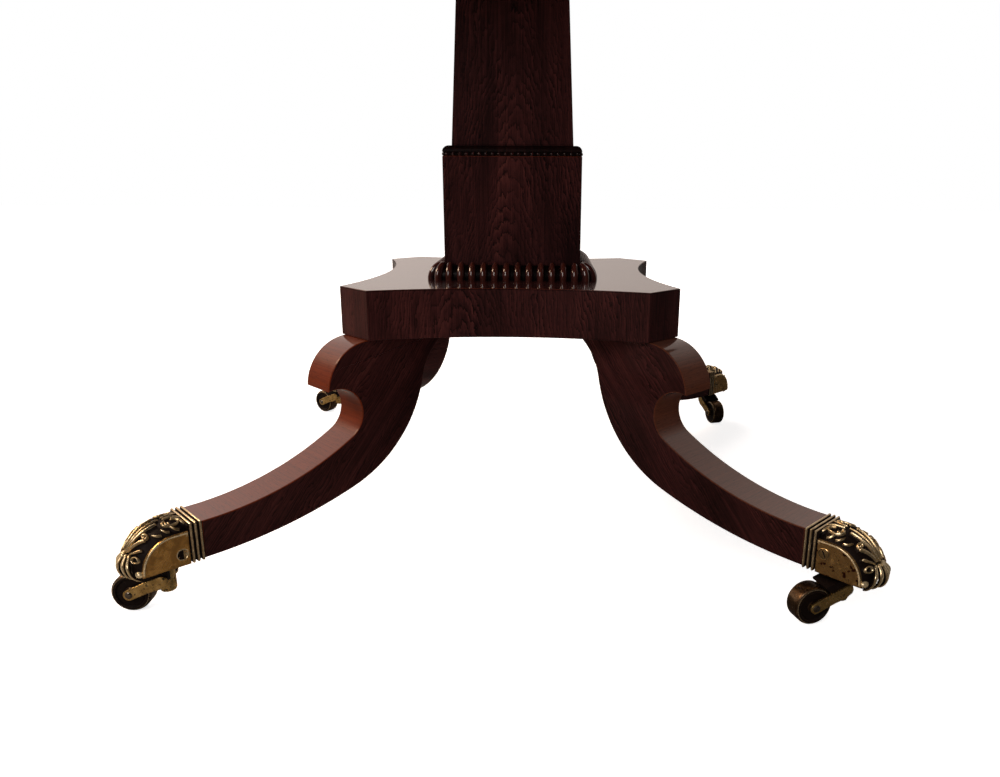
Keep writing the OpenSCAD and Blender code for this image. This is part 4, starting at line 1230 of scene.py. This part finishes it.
def edge_moulding():
    """A half-round nose and a flat back carried round the board; the grain runs along it."""
    board_l, board_d, r = TOP_L - 2 * EDGE_W, TOP_D - 2 * EDGE_W, TOP_CORNER_R - EDGE_W
    nose = TOP_T / 2
    a = np.radians(np.linspace(90, -90, 17))
    section = [(0.0, TOP_T)] + [(EDGE_W - nose + nose * math.cos(b), nose + nose * math.sin(b)) for b in a]
    section.append((0.0, 0.0))
    rows = np.stack([xyz(*corner_path(board_l, board_d, r, out).T, BOARD_UNDER + up) for out, up in section])
    path = rows[0, :, :2]
    run = np.cumsum(np.linalg.norm(np.roll(path, -1, 0) - path, axis=1))
    across = np.cumsum([0] + [math.dist(p, q) for p, q in zip(section, section[1:])])
    return skin(rows, xyz(run, across[:, None], 0.0), caps=False, wrap_rows=True)


def frieze_bends():
    """The four bent corners: a rectangular section carried round 90 degrees."""
    parts = []
    low, high = BOARD_UNDER - FRIEZE_H, BOARD_UNDER
    a = np.radians(np.linspace(0, 90, 25))[:, None]
    inner, outer = FRIEZE_CORNER_R - FRIEZE_T, FRIEZE_CORNER_R
    r, z = np.array([(outer - 0.6, low), (outer, low + 0.6), (outer, high), (inner, high), (inner, low)]).T
    for k, (sx, sy) in enumerate(QUARTERS):
        b = a + k * math.pi / 2
        cx = sx * (TOP_L / 2 - FRIEZE_INSET - FRIEZE_CORNER_R)
        cy = sy * (TOP_D / 2 - FRIEZE_INSET - FRIEZE_CORNER_R)
        rings = xyz(cx + r * np.cos(b), cy + r * np.sin(b), z)
        parts.append(skin(rings, xyz(outer * a, z, 100.0 * k)))
    return joined(parts)


ROSEWOOD_TOP = rosewood("rosewood_top", along=(0, 0, 0))
ROSEWOOD_RAIL_X = rosewood("rosewood_rail_x", along=(-90, 0, 0))
ROSEWOOD_RAIL_Y = rosewood("rosewood_rail_y", along=(-90, 0, -90))
ROSEWOOD_BENT = rosewood("rosewood_bent")
finish_nodes(ROSEWOOD_TOP, "top_board")
make("top_nosing", edge_moulding(), "top", ROSEWOOD_BENT, ["top_edge"])
make("frieze_bent_corners", frieze_bends(), "top", ROSEWOOD_BENT, ["frieze_corners"])
finish_nodes(ROSEWOOD_RAIL_X, "frieze_front", "frieze_back")
finish_nodes(ROSEWOOD_RAIL_Y, "frieze_left", "frieze_right")

# Bolts, pins and screws
# Two steel pins let the top tip up, and two brass barrel bolts hold it level. Each bolt slides in two
# staples on a plate screwed under the board, and shoots into a keep on the block's front edge.
BLOCK_W = 250
SWING_GAP = 0.4
BEARER_W = 60
PIN_D = 14
PIN_GRIP = 50
BOLT_X = 70
BOLT_D = 9
BOLT_PLATE_L = 80
BOLT_DROP = 12
PIN_Y = (BLOCK_W - BLOCK_T) / 2
PIN_Z = BLOCK_TOP - BLOCK_T / 2
KEEP_Z = BOARD_UNDER - BOLT_DROP
BOLT_TIP_Y = -BLOCK_W / 2 - 1
BOLT_L = BOLT_PLATE_L - 4
KNOB_SHARE = 0.52
KNOB_Y = BOLT_TIP_Y - BOLT_L * KNOB_SHARE


def lying(part, axis, at):
    """An upright turned part laid along x or y, from a point."""
    x, y, z = part["points"].T
    points = xyz(z, y, -x) if axis == "x" else xyz(x, z, -y)
    return {**part, "points": points + at}


def pivot_pins():
    """Turned pins with a collar outside each bearer."""
    parts = []
    outside = BLOCK_W / 2 + SWING_GAP + BEARER_W
    inside = BLOCK_W / 2 - PIN_GRIP
    end = outside - inside
    r = PIN_D / 2
    collar_r, collar_end, arris = r + 5, end + 3, 0.6
    profile = [(AXIS_R, 0), (r - 1, 0), (r, 1), (r, end), (collar_r - arris, end), (collar_r, end + arris),
               (collar_r, collar_end - arris), (collar_r - arris, collar_end), (AXIS_R, collar_end)]
    for side in (-1, 1):
        pin = skin(lathe(profile))
        pin["points"] = pin["points"] * [1, 1, side]
        parts.append(lying(pin, "x", [side * inside, PIN_Y, PIN_Z]))
    return joined(parts)


def barrel_bolt(side):
    """A round bolt with chamfered ends and a turned knob under it."""
    bar = lying(rod(BOLT_D / 2, -BOLT_L, 0, 0.9), "y", [side * BOLT_X, BOLT_TIP_Y, KEEP_Z])
    r = BOLT_D / 2
    neck = 8
    low = -r - neck
    stem = [(AXIS_R, low - r), (r * 0.5, low - r * 0.87), (r * 0.87, low - r * 0.5), (r, low),
            (r * 0.87, low + r * 0.5), (r * 0.62, low + r * 0.78), (r * 0.6, low + 2 + r * 0.6), (r * 0.6, 0),
            (AXIS_R, 0)]
    knob = skin(lathe(stem) + [side * BOLT_X, KNOB_Y, KEEP_Z])
    return joined([bar, knob])


BRASS_BOLT = brass("brass_bolt", (0.62, 0.42, 0.16), (0.36, 0.22, 0.08), pitting=0.2)
STEEL = brass("turned_steel", (0.32, 0.31, 0.30), (0.18, 0.165, 0.15), pitting=0.3)
make("tilt_pins", pivot_pins(), "top", STEEL, ["pivot_pins"])
for side, hand in ((-1, "left"), (1, "right")):
    make("barrel_bolt_" + hand, barrel_bolt(side), "bolt_" + hand, BRASS_BOLT, ["bolt_" + hand])
finish_nodes(BRASS_BOLT, "bolt_plates", "bolt_keeps")
finish_nodes(STEEL, "keep_screws", "bearer_screws", "bolt_plate_screws")
